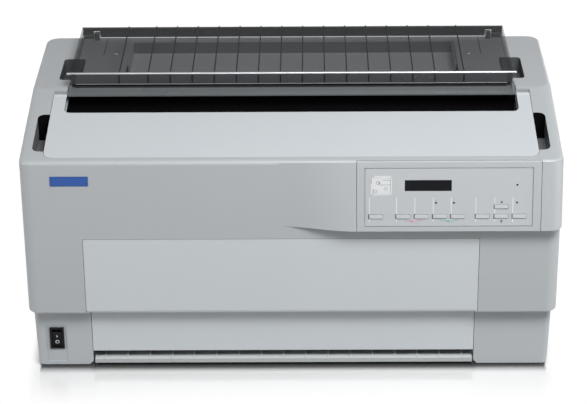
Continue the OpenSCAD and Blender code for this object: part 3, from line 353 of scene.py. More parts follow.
class Finishes:
    """All finishes of the printer."""

    case = Finish("Case plastic", Slot.CASE, (0.385, 0.408, 0.425), (0.405, 0.428, 0.442), 0.42)
    base = Finish("Base plastic", Slot.BASE, (0.39, 0.415, 0.435), (0.41, 0.435, 0.45), 0.45)
    cover = Finish("Cover plastic", Slot.COVER, (0.50, 0.535, 0.56), (0.53, 0.56, 0.58), 0.40)
    face = Finish("Panel film", Slot.COVER, (0.42, 0.44, 0.455), (0.44, 0.46, 0.475), 0.30, grain=3200.0,
                  depth=0.00001)
    guide = Finish("Guide plastic", Slot.GUIDE, (0.36, 0.40, 0.40), (0.40, 0.43, 0.43), 0.45)
    lip = Finish("Lip plastic", Slot.GUIDE, (0.38, 0.405, 0.41), (0.41, 0.43, 0.435), 0.45)
    # Painted highlight: the lip's ribs are moulded in the lip plastic and are painted lighter, as if they
    # catch the light.
    lip_rib_highlight = Finish("Lip rib painted highlight", Slot.GUIDE, (0.52, 0.55, 0.56), (0.56, 0.58, 0.59), 0.45)
    gate = Finish("Gate plastic", Slot.GUIDE, (0.30, 0.33, 0.34), (0.34, 0.36, 0.37), 0.40)
    key = Finish("Key plastic", Slot.KEY, (0.455, 0.48, 0.495), (0.485, 0.505, 0.52), 0.38, depth=0.00001)
    black = Finish("Black plastic", Slot.BLACK, (0.012, 0.013, 0.015), (0.02, 0.021, 0.023), 0.38,
                   depth=0.00002)
    dark = Finish("Dark plastic", Slot.DARK, (0.03, 0.033, 0.036), (0.045, 0.048, 0.05), 0.42, depth=0.00002)
    acetal = Finish("White acetal", Slot.WHITE, (0.70, 0.68, 0.60), (0.75, 0.73, 0.66), 0.32, depth=0.00001)
    smoked = Finish("Smoked acrylic", Slot.SMOKED, (0.010, 0.012, 0.013), (0.014, 0.016, 0.017), 0.10, 0.03,
                    grain=400.0, depth=0.000004, alpha=0.33, shine=0.05)
    smoked_rear = Finish("Smoked rear edge", Slot.SMOKED, (0.10, 0.11, 0.115), (0.13, 0.14, 0.145), 0.35,
                         0.05, grain=700.0, depth=0.00001, alpha=0.94, shine=0.1)
    # Painted shade: near-black paint for the far end of the front grips, the ends of the top cover's slot,
    # the gap under the flap and the deflector plate under the slot.
    shade = Finish("Painted shade black", Slot.BLACK, (0.0035, 0.0035, 0.004), (0.005, 0.005, 0.006), 0.8,
                   0.05, depth=0.00001, shine=0.03)
    # Painted shade: the grip recesses are moulded in the case plastic and are painted darker where shade
    # falls in them.
    recess = Finish("Grip recess painted shade", Slot.DARK, (0.15, 0.155, 0.16), (0.17, 0.175, 0.18), 0.5)
    # Painted shade for the rear grip recesses, darker still; the hinge horns take it too.
    recess_rear = Finish("Rear grip shade and hinge horns", Slot.DARK, (0.075, 0.08, 0.085), (0.09, 0.095, 0.10), 0.5)
    # Painted light: the tray floor is part of the guide moulding and is painted lighter, as if lit.
    tray = Finish("Tray floor painted light", Slot.GUIDE, (0.60, 0.62, 0.63), (0.66, 0.68, 0.69), 0.5)
    # Painted shade: the tray's rear wall is part of the guide moulding and is painted darker, as if in
    # shadow.
    shaded_tray_wall = Finish("Tray wall painted shade", Slot.GUIDE, (0.15, 0.16, 0.165), (0.18, 0.19, 0.195), 0.5)
    flap = Finish("Smoked flap", Slot.SMOKED, (0.042, 0.046, 0.050), (0.052, 0.056, 0.060), 0.26, 0.05,
                  grain=700.0, depth=0.000008, alpha=0.90, shine=0.3)
    strip = Finish("Smoked front strip", Slot.SMOKED, (0.11, 0.12, 0.125), (0.14, 0.15, 0.155), 0.28, 0.05,
                   grain=700.0, depth=0.00001, alpha=0.93, shine=0.3)
    rib = Finish("Smoked rib", Slot.SMOKED, (0.006, 0.007, 0.008), (0.009, 0.010, 0.011), 0.55, 0.05,
                 depth=0.000004, shine=0.15)
    display = Finish("Display window", Slot.DISPLAY, (0.006, 0.007, 0.009), (0.008, 0.009, 0.011), 0.22,
                     0.03, grain=600.0, depth=0.000004, shine=0.08)
    switch = Finish("Switch plastic", Slot.BLACK, (0.004, 0.004, 0.005), (0.007, 0.007, 0.008), 0.42,
                    depth=0.00001, shine=0.15)
    picture = Finish("Picture ground", Slot.COVER, (0.60, 0.615, 0.625), (0.63, 0.645, 0.655), 0.5,
                     grain=4000.0, depth=0.000005)
    lens = Finish("Lamp lens", Slot.DISPLAY, (0.012, 0.016, 0.014), (0.02, 0.024, 0.02), 0.2, 0.03,
                  depth=0.000004, coat=0.4)
    blue = Finish("Plate blue", Slot.BLUE, (0.003, 0.062, 0.29), (0.004, 0.075, 0.33), 0.25, 0.04,
                  grain=2600.0, depth=0.000006, coat=0.15)
    rubber = Finish("Black rubber", Slot.RUBBER, (0.016, 0.016, 0.017), (0.026, 0.026, 0.027), 0.72, 0.08,
                    grain=900.0, depth=0.00005, dust=0.1)
    steel = Finish("Ground steel", Slot.STEEL, (0.52, 0.53, 0.55), (0.64, 0.65, 0.67), 0.28, 0.08,
                   depth=0.00001, metallic=1.0, drawn=True)
    zinc = Finish("Zinc-plated sheet", Slot.ZINC, (0.36, 0.38, 0.40), (0.48, 0.50, 0.51), 0.42, 0.10,
                  grain=260.0, depth=0.00002, mottle=60.0, metallic=1.0)
    chrome = Finish("Polished rod", Slot.CHROME, (0.40, 0.41, 0.42), (0.47, 0.48, 0.49), 0.34, 0.05,
                    depth=0.000003, metallic=1.0, drawn=True)
    brass = Finish("Turned brass", Slot.BRASS, (0.60, 0.42, 0.14), (0.72, 0.52, 0.20), 0.28, 0.08,
                   depth=0.00001, metallic=1.0, drawn=True)
    head = Finish("Black anodised alloy", Slot.HEAD, (0.03, 0.032, 0.035), (0.06, 0.062, 0.066), 0.35, 0.08,
                  metallic=0.9, depth=0.00001)
    board = Finish("Circuit board", Slot.BOARD, (0.01, 0.085, 0.04), (0.015, 0.12, 0.055), 0.35, 0.08,
                   grain=500.0, depth=0.00002, mottle=220.0, coat=0.3)
    white_ink = ink("White ink", Slot.COVER, (0.76, 0.78, 0.79), (0.80, 0.81, 0.82))
    # Dark grey ink for the arrows and picture lines, also used as painted shade at the keys.
    grey_ink_and_shade = ink("Grey ink and painted shade", Slot.DARK, (0.045, 0.05, 0.056), (0.06, 0.066, 0.072))
    line_ink = ink("Outline ink", Slot.GUIDE, (0.33, 0.345, 0.355), (0.37, 0.38, 0.39))
    pink_ink = ink("Pink ink", Slot.COVER, (0.50, 0.06, 0.18), (0.56, 0.08, 0.21))
    green_ink = ink("Green ink", Slot.COVER, (0.02, 0.32, 0.20), (0.03, 0.36, 0.23))


# ---------------------------------------------------------------- modelling helpers


def clear_selection() -> None:
    """Deselects every object."""
    bpy.ops.object.select_all(action="DESELECT")


def take(piece: Piece) -> None:
    """Makes a piece the only selected and active object."""
    clear_selection()
    piece.select_set(True)
    bpy.context.view_layer.objects.active = piece


def modify(piece: Piece, kind: str, **settings: object) -> None:
    """Adds a modifier and applies it.

    Args:
        piece: Object to change.
        kind: Modifier type.
        **settings: Properties of the modifier.
    """
    take(piece)
    bpy.ops.object.modifier_add(type=kind)
    modifier = piece.modifiers[-1]
    for key, value in settings.items():
        setattr(modifier, key, value)
    bpy.ops.object.modifier_apply(modifier=modifier.name)


def settle(piece: Piece) -> None:
    """Moves a piece's place into its mesh."""
    take(piece)
    bpy.ops.object.transform_apply(location=True, rotation=True, scale=True)


def smooth(piece: Piece, angle: float = 32.0) -> None:
    """Smooths shading below an angle and keeps broad faces flat.

    Args:
        piece: Object to shade.
        angle: Largest angle that is smoothed, in degrees.
    """
    take(piece)
    bpy.ops.object.shade_smooth_by_angle(angle=math.radians(angle))
    modify(piece, "WEIGHTED_NORMAL", keep_sharp=True, weight=80)


def mount(piece: Piece, name: str, body: str, finish: Finish) -> Piece:
    """Names a finished piece, gives it its material and lets it ride on a body.

    Args:
        piece: Finished object, with its place in its mesh.
        name: Name of the piece.
        body: Body that carries it.
        finish: Its finish.

    Returns:
        The same object.
    """
    piece.name = name
    piece.data.name = name
    piece.data.materials.clear()
    piece.data.materials.append(paint(finish))
    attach(piece, body)
    log.info("piece %s on %s: %d faces", name, body, len(piece.data.polygons))
    return piece


def body_of(node: str) -> str:
    """Returns the name of the body that holds a node."""
    bodies = frame["record"]["behaviour"]["bodies"]
    return next(body for body, nodes in bodies.items() if node in nodes)


def is_broken(piece: Piece) -> bool:
    """Tells whether the filling of any face covers more or less than the face itself."""
    mesh = piece.data
    mesh.calc_loop_triangles()
    filled: dict[int, float] = {}
    for part in mesh.loop_triangles:
        filled[part.polygon_index] = filled.get(part.polygon_index, 0.0) + part.area
    return any(abs(face.area - filled.get(face.index, 0.0)) > max(SLIVER_AREA, SLIVER_SHARE * face.area)
               for face in mesh.polygons)


def rounded_copy(node: str, merge: float, bevel: float, segments: int) -> Piece:
    """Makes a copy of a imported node's mesh with joined flat faces and rounded edges.

    Args:
        node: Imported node.
        merge: Largest angle between faces that are joined to one, in degrees, or 0 for none.
        bevel: Width of the edge rounding in metres, or 0 for none.
        segments: Segments of the rounding.

    Returns:
        The new piece.
    """
    source = frame["nodes"][node]
    piece = bpy.data.objects.new(node + "_dressed", source.data.copy())
    bpy.context.scene.collection.objects.link(piece)
    take(piece)
    bpy.ops.object.mode_set(mode="EDIT")
    bpy.ops.mesh.select_all(action="SELECT")
    bpy.ops.mesh.customdata_custom_splitnormals_clear()
    bpy.ops.mesh.remove_doubles(threshold=WELD)
    if merge:
        bpy.ops.mesh.dissolve_limited(angle_limit=math.radians(merge))
    bpy.ops.object.mode_set(mode="OBJECT")
    if bevel:
        modify(piece, "BEVEL", width=bevel, segments=segments, limit_method="ANGLE",
               angle_limit=math.radians(35), use_clamp_overlap=True, miter_outer="MITER_ARC")
    return piece


def dress(node: str, finish: Finish, bevel: float = 0.0004, segments: int = 2, merge: float = 0.4,
          angle: float = 32.0) -> Piece:
    """Makes a rounded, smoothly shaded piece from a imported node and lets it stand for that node.

    Args:
        node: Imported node.
        finish: Finish of the piece.
        bevel: Width of the edge rounding in metres, or 0 for none.
        segments: Segments of the rounding.
        merge: Largest angle between faces that are joined to one, in degrees.
        angle: Largest angle that is shaded smooth, in degrees.

    Returns:
        The new piece.
    """
    piece = rounded_copy(node, merge, bevel, segments)
    for width in (bevel, bevel / 2, 0.0):
        if not is_broken(piece):
            break
        log.info("%s: made again without joined faces, rounded by %g m", node, width)
        bpy.data.objects.remove(piece)
        piece = rounded_copy(node, 0.0, width, segments)
    smooth(piece, angle)
    mount(piece, node + "_dressed", body_of(node), finish)
    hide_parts(node)
    return piece


def paint_parts(piece: Piece, finish: Finish, wanted: Callable[[Vector], bool]) -> None:
    """Gives some faces of a piece a second finish.

    Args:
        piece: Piece to paint.
        finish: Finish of the chosen faces.
        wanted: Test of a face's centre.
    """
    piece.data.materials.append(paint(finish))
    number = len(piece.data.materials) - 1
    for face in piece.data.polygons:
        if wanted(face.center):
            face.material_index = number


def repaint(node: str, finish: Finish) -> None:
    """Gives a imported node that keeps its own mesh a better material."""
    piece = frame["nodes"][node]
    piece.data.materials.clear()
    piece.data.materials.append(paint(finish))
    log.info("node %s keeps its mesh", node)


def block(low: Point, high: Point, edge: float = 0.0003, segments: int = 2) -> Piece:
    """Makes a box with rounded edges from its lowest and highest corners.

    Args:
        low: Lowest corner in metres.
        high: Highest corner in metres.
        edge: Width of the edge rounding in metres.
        segments: Segments of the rounding.

    Returns:
        The new object, with its place in its mesh.
    """
    clear_selection()
    middle = [(a + b) / 2 for a, b in zip(low, high)]
    bpy.ops.mesh.primitive_cube_add(size=1.0, location=middle)
    piece = bpy.context.object
    piece.scale = [b - a for a, b in zip(low, high)]
    settle(piece)
    modify(piece, "BEVEL", width=edge, segments=segments, limit_method="NONE")
    return piece


def rod(middle: Point, axis: Axis, length: float, radius: float) -> Piece:
    """Makes a turned rod with rounded ends.

    Args:
        middle: Its middle.
        axis: Direction of the rod.
        length: Length in metres.
        radius: Radius in metres.

    Returns:
        The new object, with its place in its mesh.
    """
    clear_selection()
    bpy.ops.mesh.primitive_cylinder_add(vertices=32, radius=radius, depth=length, location=middle,
                                        rotation=axis.value)
    piece = bpy.context.object
    settle(piece)
    modify(piece, "BEVEL", width=0.0003, segments=2, limit_method="ANGLE", angle_limit=math.radians(60))
    smooth(piece)
    return piece


def ring(middle: Point, axis: Axis, radius: float, tube: float) -> Piece:
    """Makes a thin ring.

    Args:
        middle: Its middle.
        axis: Its axis.
        radius: Radius of the ring.
        tube: Radius of its section.

    Returns:
        The new object, with its place in its mesh.
    """
    clear_selection()
    bpy.ops.mesh.primitive_torus_add(major_segments=32, minor_segments=8, major_radius=radius,
                                     minor_radius=tube, location=middle, rotation=axis.value)
    piece = bpy.context.object
    settle(piece)
    smooth(piece, 60)
    return piece


def join(pieces: list[Piece]) -> Piece:
    """Joins several objects to one.

    Args:
        pieces: Objects to join; the first one stays.

    Returns:
        The joined object.
    """
    clear_selection()
    for piece in pieces:
        piece.select_set(True)
    bpy.context.view_layer.objects.active = pieces[0]
    if len(pieces) > 1:
        bpy.ops.object.join()
    return pieces[0]


def copy_of(piece: Piece, shift: Point) -> Piece:
    """Copies an object with a mesh of its own and moves the copy.

    Args:
        piece: Object to copy.
        shift: Move of the copy in metres.

    Returns:
        The copy, with its place in its mesh.
    """
    take(piece)
    bpy.ops.object.duplicate(linked=False)
    copy = bpy.context.object
    copy.location = Vector(copy.location) + Vector(shift)
    settle(copy)
    return copy


def screw_head(middle: Point, radius: float = 0.0032) -> Piece:
    """Makes a domed screw head with a cross recess, facing up.

    Args:
        middle: Middle of the seat under the head.
        radius: Radius of the head.

    Returns:
        The new object, with its place in its mesh.
    """
    clear_selection()
    bpy.ops.mesh.primitive_uv_sphere_add(segments=24, ring_count=12, radius=radius, location=middle)
    head = bpy.context.object
    dome = 0.55
    head.scale = (1.0, 1.0, dome)
    settle(head)
    bpy.ops.object.mode_set(mode="EDIT")
    bpy.ops.mesh.select_all(action="SELECT")
    bpy.ops.mesh.bisect(plane_co=middle, plane_no=(0, 0, 1), clear_inner=True, use_fill=True)
    bpy.ops.object.mode_set(mode="OBJECT")
    x, y, top = middle[0], middle[1], middle[2] + radius * dome
    long, short, deep = radius * 0.55, radius * 0.12, radius * 0.35
    arms = [block((x - a, y - b, top - deep), (x + a, y + b, top + radius), 0.00005, 1)
            for a, b in ((long, short), (short, long))]
    for arm in arms:
        modify(head, "BOOLEAN", operation="DIFFERENCE", object=arm, solver="EXACT")
        bpy.data.objects.remove(arm)
    smooth(head, 35)
    return head


# ---------------------------------------------------------------- sub-assemblies


def deck_top(y: float) -> float:
    """Returns the height of the sloping deck at a place along Y."""
    return CREASE_Z + DECK_SLOPE * (y - CASE_FRONT)


@dataclass(frozen=True)
class Region:
    """A box of places that lies on both sides of the middle."""

    across: Range = (-1.0, 1.0)
    along: Range = (-1.0, 1.0)
    height: Range = (-1.0, 1.0)
    under_deck: float = -1.0

    def holds(self, centre: Vector) -> bool:
        """Tells whether a face's centre is in the box and far enough under the deck."""
        places = ((self.across, abs(centre.x)), (self.along, centre.y), (self.height, centre.z))
        inside = all(low < value < high for (low, high), value in places)
        return inside and centre.z < deck_top(centre.y) - self.under_deck


@dataclass
class Case:
    """Lower and upper case with the feet, the plain plate, hinge pins and screws."""

    body: str = "case"
    front_grip: Region = Region((0.3065, 0.3349), (-0.1503, -0.0637), (0.2950, 1.0), 0.0008)
    front_grip_shaded_end: Region = Region((0.3065, 0.3349), (-0.0762, -0.0637), (0.2950, 1.0), 0.0008)
    rear_grip: Region = Region((0.2865, 0.3175), (0.0295, 0.1075), (0.3205, 0.3393))
    hinge_horns: Region = Region(along=(0.16, 1.0), height=(0.3406, 1.0))
    deck_screws: tuple[Point, ...] = ((-0.2473, 0.1288, 0.34), (0.2462, 0.1238, 0.34))
    deck_line_low: Point = (0.2635, 0.122, 0.3398)
    deck_line_high: Point = (0.2645, 0.186, 0.3403)
    case_rear: float = 0.191
    rear_screws_x: tuple[float, ...] = (-0.32, -0.11, 0.11, 0.32)
    rear_screws_z: float = 0.106
    inlet_screws: tuple[Point, ...] = ((-0.2595, 0.1885, 0.048), (-0.2145, 0.1885, 0.048))
    under_screws_x: tuple[float, ...] = (-0.20, 0.0, 0.20)
    under_screws_y: tuple[float, ...] = (-0.05, 0.12)
    under_z: float = 0.003

    def build(self) -> None:
        """Builds the case and everything that is fixed to it."""
        shell = dress("upper_case", Finishes.case, bevel=0.0005, merge=0.05, angle=38)
        # Painted shade: each front grip recess is painted darker than the case.
        paint_parts(shell, Finishes.recess, self.front_grip.holds)
        # Painted shade: each rear grip recess is painted darker still.
        paint_parts(shell, Finishes.recess_rear, self.rear_grip.holds)
        # Painted shade: the far end of each front grip recess is painted near-black.
        paint_parts(shell, Finishes.shade, self.front_grip_shaded_end.holds)
        # The hinge horns take the same dark paint, darker than the case plastic they are moulded in.
        paint_parts(shell, Finishes.recess_rear, self.hinge_horns.holds)
        dress("lower_case", Finishes.base, bevel=0.0008)
        dress("rubber_feet", Finishes.rubber, bevel=0.0008)
        dress("name_plate", Finishes.blue, bevel=0.0002)
        dress("hinge_pins", Finishes.steel, bevel=0.0003)
        self.deck_details()
        rear = [(x, self.case_rear, self.rear_screws_z) for x in self.rear_screws_x] + list(self.inlet_screws)
        self.screws("rear_screw", -math.pi / 2, 0.0036, rear)
        under = [(x, y, self.under_z) for x in self.under_screws_x for y in self.under_screws_y]
        self.screws("base_screw", math.pi, 0.0034, under)

    def deck_details(self) -> None:
        """Adds the screws and the moulded lines on the deck under the smoked cover."""
        for number, place in enumerate(self.deck_screws, 1):
            mount(screw_head(place), f"deck_screw_{number}", self.body, Finishes.steel)
        (inner, front, low), (outer, rear, high) = self.deck_line_low, self.deck_line_high
        for name, left, right in (("left", -outer, -inner), ("right", inner, outer)):
            line = block((left, front, low), (right, rear, high), 0.0001, 1)
            mount(line, f"deck_line_{name}", self.body, Finishes.black)

    def screws(self, name: str, turn: float, radius: float, places: list[Point]) -> None:
        """Adds a row of equal screws that face away from the deck.

        Args:
            name: Name of the screws, without their number.
            turn: Turn about X from facing up, in radians.
            radius: Radius of the heads.
            places: Seat of each head.
        """
        first = screw_head((0.0, 0.0, 0.0), radius)
        first.rotation_euler = (turn, 0.0, 0.0)
        settle(first)
        for number, place in enumerate(places, 1):
            mount(copy_of(first, place), f"{name}_{number}", self.body, Finishes.steel)
        bpy.data.objects.remove(first)


@dataclass
class TopCover:
    """Pale hinged cover over the print head."""

    shaded_slot_ends: Region = Region((0.3002, 0.3016), (-0.0605, 0.002), under_deck=0.0009)

    def build(self) -> None:
        """Builds the cover."""
        cover = dress("top_cover", Finishes.cover, bevel=0.0006, angle=36)
        # Painted shade: the inner side faces at the ends of the cover's slot are painted near-black.
        paint_parts(cover, Finishes.shade, self.shaded_slot_ends.holds)


@dataclass
class SmokedCover:
    """Smoked rear cover with its ribs, brackets, rod and tear-off flap."""

    body: str = "rear_cover"
    flap: str = "tear_off_flap"
    ribs: Region = Region(height=(0.3619, 1.0))
    front_strip: Region = Region(along=(-1.0, 0.0085), height=(-1.0, 0.3465))
    rear_wall: Region = Region(along=(0.1742, 1.0), height=(-1.0, 0.3615))
    flap_ribs: Region = Region(along=(-1.0, -0.00505), height=(0.3475, 1.0))
    edge_half: float = 0.289
    edge_along: Range = (-0.00635, -0.00535)
    edge_height: Range = (0.3475, 0.3487)
    edge_shade_height: Range = (0.3460, 0.3474)
    rod_end: Point = (0.2985, -0.0015, 0.3612)
    rod_end_length: float = 0.007
    rod_end_radius: float = 0.0018

    def build(self) -> None:
        """Builds the cover and its fittings."""
        cover = dress("rear_cover", Finishes.smoked, bevel=0.0003)
        paint_parts(cover, Finishes.rib, self.ribs.holds)
        paint_parts(cover, Finishes.strip, self.front_strip.holds)
        paint_parts(cover, Finishes.smoked_rear, self.rear_wall.holds)
        dress("rod_brackets", Finishes.black, bevel=0.0004)
        dress("flap_rod", Finishes.chrome, bevel=0.0003)
        flap = dress("tear_off_flap", Finishes.flap, bevel=0.0002)
        paint_parts(flap, Finishes.rib, self.flap_ribs.holds)
        self.edge("tear_edge", self.edge_height, Finishes.steel)
        # A near-black strip just under the steel edge: painted shadow of the gap below the flap.
        self.edge("tear_edge_shade", self.edge_shade_height, Finishes.shade)
        x, y, z = self.rod_end
        for name, place in (("left", (-x, y, z)), ("right", (x, y, z))):
            stub = rod(place, Axis.X, self.rod_end_length, self.rod_end_radius)
            mount(stub, f"rod_end_{name}", self.body, Finishes.chrome)

    def edge(self, name: str, height: Range, finish: Finish) -> None:
        """Adds a strip along the lower edge of the flap.

        Args:
            name: Name of the strip.
            height: Its lowest and highest place.
            finish: Its finish.
        """
        (front, rear), (low, high) = self.edge_along, height
        strip = block((-self.edge_half, front, low), (self.edge_half, rear, high), 0.0002)
        mount(strip, name, self.flap, finish)


@dataclass
class FrontCover:
    """Stepped front cover and the ribbed lip under it."""

    rib_pitch: float = 0.030
    rib_first: float = -0.01225
    rib_half: float = 0.0009
    rib_foot: float = 0.0115

    def build(self) -> None:
        """Builds the cover and the lip."""
        dress("front_cover", Finishes.cover, bevel=0.0005, angle=36)
        lip = dress("front_paper_guide", Finishes.lip, bevel=0.0003)
        # The ribs are painted lighter than the lip: painted highlight.
        paint_parts(lip, Finishes.lip_rib_highlight, self.on_rib)

    def on_rib(self, centre: Vector) -> bool:
        """Tells whether a place is on a rib of the lip."""
        steps = (centre.x - self.rib_first) / self.rib_pitch
        return centre.z > self.rib_foot and abs(steps - round(steps)) * self.rib_pitch < self.rib_half


@dataclass
class PanelPlane:
    """The leaning plane of the control panel, with places across it, into it and down it in millimetres."""

    tilt: float = math.atan(16 / 92)
    surface: float = 0.8
    sunk: float = 0.4
    edge: float = 0.02

    def lean(self, piece: Piece) -> Piece:
        """Turns a piece drawn upright at the crease line into the panel's plane."""
        take(piece)
        crease = Matrix.Translation((0, CASE_FRONT, CREASE_Z))
        piece.matrix_world = crease @ Matrix.Rotation(-self.tilt, 4, "X")
        settle(piece)
        return piece

    def chip(self, mark: Mark, proud: float) -> Piece:
        """Makes a thin raised mark on the panel.

        Args:
            mark: Its left, upper, right and lower place.
            proud: Height above the face plate.

        Returns:
            The new object.
        """
        left, upper, right, lower = mark
        return self.lean(block((left * MM, (self.surface - proud) * MM, -lower * MM),
                               (right * MM, (self.surface + self.sunk) * MM, -upper * MM), self.edge * MM, 1))


@dataclass
class ControlPanel:
    """Panel housing, face plate, display, lamps, keys, printed marks and painted shade at the keys, in
    millimetres on its plane.
    """

    body: str = "case"
    plane: PanelPlane = field(default_factory=PanelPlane)
    key_x: tuple[float, ...] = (109.1, 144.0, 167.7, 191.1, 214.3, 246.1, 270.2, 293.4, 270.2)
    key_row: float = 73.5
    key_upper_row: float = 60.5
    key_w: float = 17.6
    key_h: float = 5.2
    outline: Mark = (95.25, 9.75, 309.75, 86.25)
    outline_w: float = 0.28
    column_x: Range = (-0.1, 0.5)
    column_rows: tuple[Range, ...] = ((48.5, 70.2), (77.0, 81.0))
    # Painted shade at each key: places of the dark mark at its left end and under it, in millimetres.
    key_shadow_x: Range = (-1.25, -0.42)
    key_shadow_over: float = 0.6
    key_shadow_under: float = 0.4
    under_key_shadow_v: Range = (0.42, 0.9)
    under_key_shadow_share: float = 0.96
    arrow_x: float = 270.4
    arrow_depth: float = 0.95
    arrows: tuple[tuple[str, float, float], ...] = (("up", 54.8, 0.0), ("down", 80.2, math.pi))
    arrow_size: tuple[float, float] = (2.2, 0.5)
    bracket_v: Mark = (77.6, 78.9, 79.2, 79.3)
    bracket_w: float = 0.4
    bracket_bar: Mark = (-4.2, 80.4, 4.2, 81.2)
    picture_plates: tuple[Mark, ...] = ((102.6, 22.0, 129.4, 44.0), (106.0, 19.4, 128.2, 22.6),
                                        (104.6, 43.4, 127.2, 45.4))
    picture_rings: tuple[Point, ...] = ((111.4, 28.6, 2.2), (121.6, 36.6, 2.0), (108.2, 40.0, 2.0),
                                        (113.2, 29.2, 1.0))
    picture_lines: tuple[Mark, ...] = ((102.8, 21.8, 103.2, 30.0), (105.0, 36.0, 105.4, 45.0),
                                       (113.5, 31.2, 127.5, 31.6), (118.0, 25.0, 127.0, 25.4),
                                       (106.0, 19.6, 106.4, 22.0), (127.2, 22.4, 127.6, 43.0))
    ring_depth: float = 0.7
    ring_tube: float = 0.18

    def build(self) -> None:
        """Builds the panel."""
        dress("panel_housing", Finishes.case, bevel=0.0005)
        dress("panel_face", Finishes.face, bevel=0.00012, segments=1)
        dress("display_window", Finishes.display, bevel=0.0002)
        dress("status_lamps", Finishes.lens, bevel=0.0003)
        for number in range(1, len(self.key_x) + 1):
            dress(f"key_{number}", Finishes.key, bevel=0.0005, segments=3)
        repaint("panel_board", Finishes.board)
        self.add_outline()
        self.add_columns()
        self.add_key_shadows()
        for name, v, turn in self.arrows:
            self.add_arrow(name, v, turn)
        self.add_bracket("pink", 146.0, 168.5, Finishes.pink_ink)
        self.add_bracket("green", 192.0, 214.5, Finishes.green_ink)
        self.add_picture()

    def chips(self, marks: list[Mark], proud: float, name: str, finish: Finish) -> None:
        """Makes one piece of several thin marks.

        Args:
            marks: The marks.
            proud: Height above the face plate.
            name: Name of the piece.
            finish: Its finish.
        """
        mount(join([self.plane.chip(mark, proud) for mark in marks]), name, self.body, finish)

    def add_outline(self) -> None:
        """Adds the fine dark line round the face plate."""
        left, top, right, low = self.outline
        w = self.outline_w
        self.chips([(left, top, right, top + w), (left, low - w, right, low), (left, top, left + w, low),
                    (right - w, top, right, low)], 0.03, "face_outline", Finishes.line_ink)

    def add_columns(self) -> None:
        """Adds the white line that joins each key of the lower row to its label place."""
        marks = []
        for top, low in self.column_rows:
            for x in self.key_x[:-1]:
                left = x - self.key_w / 2
                marks.append((left + self.column_x[0], top, left + self.column_x[1], low))
        self.chips(marks, 0.12, "column_lines", Finishes.white_ink)

    def add_key_shadows(self) -> None:
        """Adds painted shade at the left end and under each key, a dark mark where the gap round the key
        falls in shadow.
        """
        marks = []
        for number, x in enumerate(self.key_x, 1):
            v = self.key_upper_row if number == len(self.key_x) else self.key_row
            left, top, low = x - self.key_w / 2, v - self.key_h / 2, v + self.key_h / 2
            start, end = (left + place for place in self.key_shadow_x)
            marks.append((start, top - self.key_shadow_over, end, low + self.key_shadow_under))
            marks.append((start, low + self.under_key_shadow_v[0], left + self.key_w * self.under_key_shadow_share,
                          low + self.under_key_shadow_v[1]))
        self.chips(marks, 0.05, "key_shadows", Finishes.grey_ink_and_shade)

    def add_arrow(self, name: str, v: float, turn: float) -> None:
        """Adds an arrow beside the pair of feed keys.

        Args:
            name: Direction of the arrow.
            v: Its place down the panel.
            turn: Turn from pointing up, in radians.
        """
        clear_selection()
        radius, depth = self.arrow_size
        bpy.ops.mesh.primitive_cylinder_add(vertices=3, radius=radius * MM, depth=depth * MM,
                                            location=(0, 0, 0))
        arrow = bpy.context.object
        arrow.rotation_euler = (math.pi / 2, turn, 0)
        settle(arrow)
        modify(arrow, "BEVEL", width=0.0001, segments=1, limit_method="NONE")
        arrow.location = (self.arrow_x * MM, self.arrow_depth * MM, -v * MM)
        settle(arrow)
        mount(self.plane.lean(arrow), f"arrow_{name}", self.body, Finishes.grey_ink_and_shade)

    def add_bracket(self, name: str, left: float, right: float, finish: Finish) -> None:
        """Adds a bracket that pairs two keys.

        Args:
            name: Colour of the bracket.
            left: Its left end.
            right: Its right end.
            finish: Its finish.
        """
        top, beam_top, low, beam_low = self.bracket_v
        middle, w = (left + right) / 2, self.bracket_w
        bar_left, bar_top, bar_right, bar_low = self.bracket_bar
        self.chips([(left, top, left + w, low), (right - w, top, right, low),
                    (left, beam_top, right, beam_low),
                    (middle + bar_left, bar_top, middle + bar_right, bar_low)],
                   0.05, f"bracket_{name}", finish)

    def add_picture(self) -> None:
        """Adds a plain pale plate with rings for the paper rollers."""
        self.chips(list(self.picture_plates), 0.10, "picture_plate", Finishes.picture)
        drawn = [self.plane.lean(ring((across * MM, self.ring_depth * MM, -down * MM), Axis.Y, radius * MM,
                                      self.ring_tube * MM)) for across, down, radius in self.picture_rings]
        drawn += [self.plane.chip(mark, 0.16) for mark in self.picture_lines]
        mount(join(drawn), "picture_lines", self.body, Finishes.grey_ink_and_shade)


@dataclass
class PowerSwitch:
    """Black rocker switch with its frame and the two marks."""

    rocker: str = "switch_rocker"
    pivot: Point = (-0.31555, -0.153, 0.0435)
    tilt: float = math.radians(9)
    face: float = 0.00535
    off_up: float = -0.0054
    off_radius: float = 0.0023
    off_tube: float = 0.00038
    on_up: float = 0.0036
    on_half: Point = (0.0005, 0.0003, 0.0012)

    def build(self) -> None:
        """Builds the switch with a ring at the off end and a bar at the on end."""
        dress("switch_frame", Finishes.switch, bevel=0.0004)
        dress("switch_rocker", Finishes.switch, bevel=0.0004)
        self.add_mark("switch_off_mark", ring((0, 0, 0), Axis.Y, self.off_radius, self.off_tube), self.off_up)
        low = tuple(-half for half in self.on_half)
        self.add_mark("switch_on_mark", block(low, self.on_half, 0.0001, 1), self.on_up)

    def add_mark(self, name: str, mark: Piece, up: float) -> None:
        """Puts a mark drawn at the origin on the leaning rocker.

        Args:
            name: Name of the mark.
            mark: The mark, facing to the front.
            up: Its distance above the rocker's pivot in metres.
        """
        take(mark)
        mark.matrix_world = (Matrix.Translation(self.pivot) @ Matrix.Rotation(self.tilt, 4, "X")
                             @ Matrix.Translation((0, -self.face, up)))
        settle(mark)
        mount(mark, name, self.rocker, Finishes.white_ink)


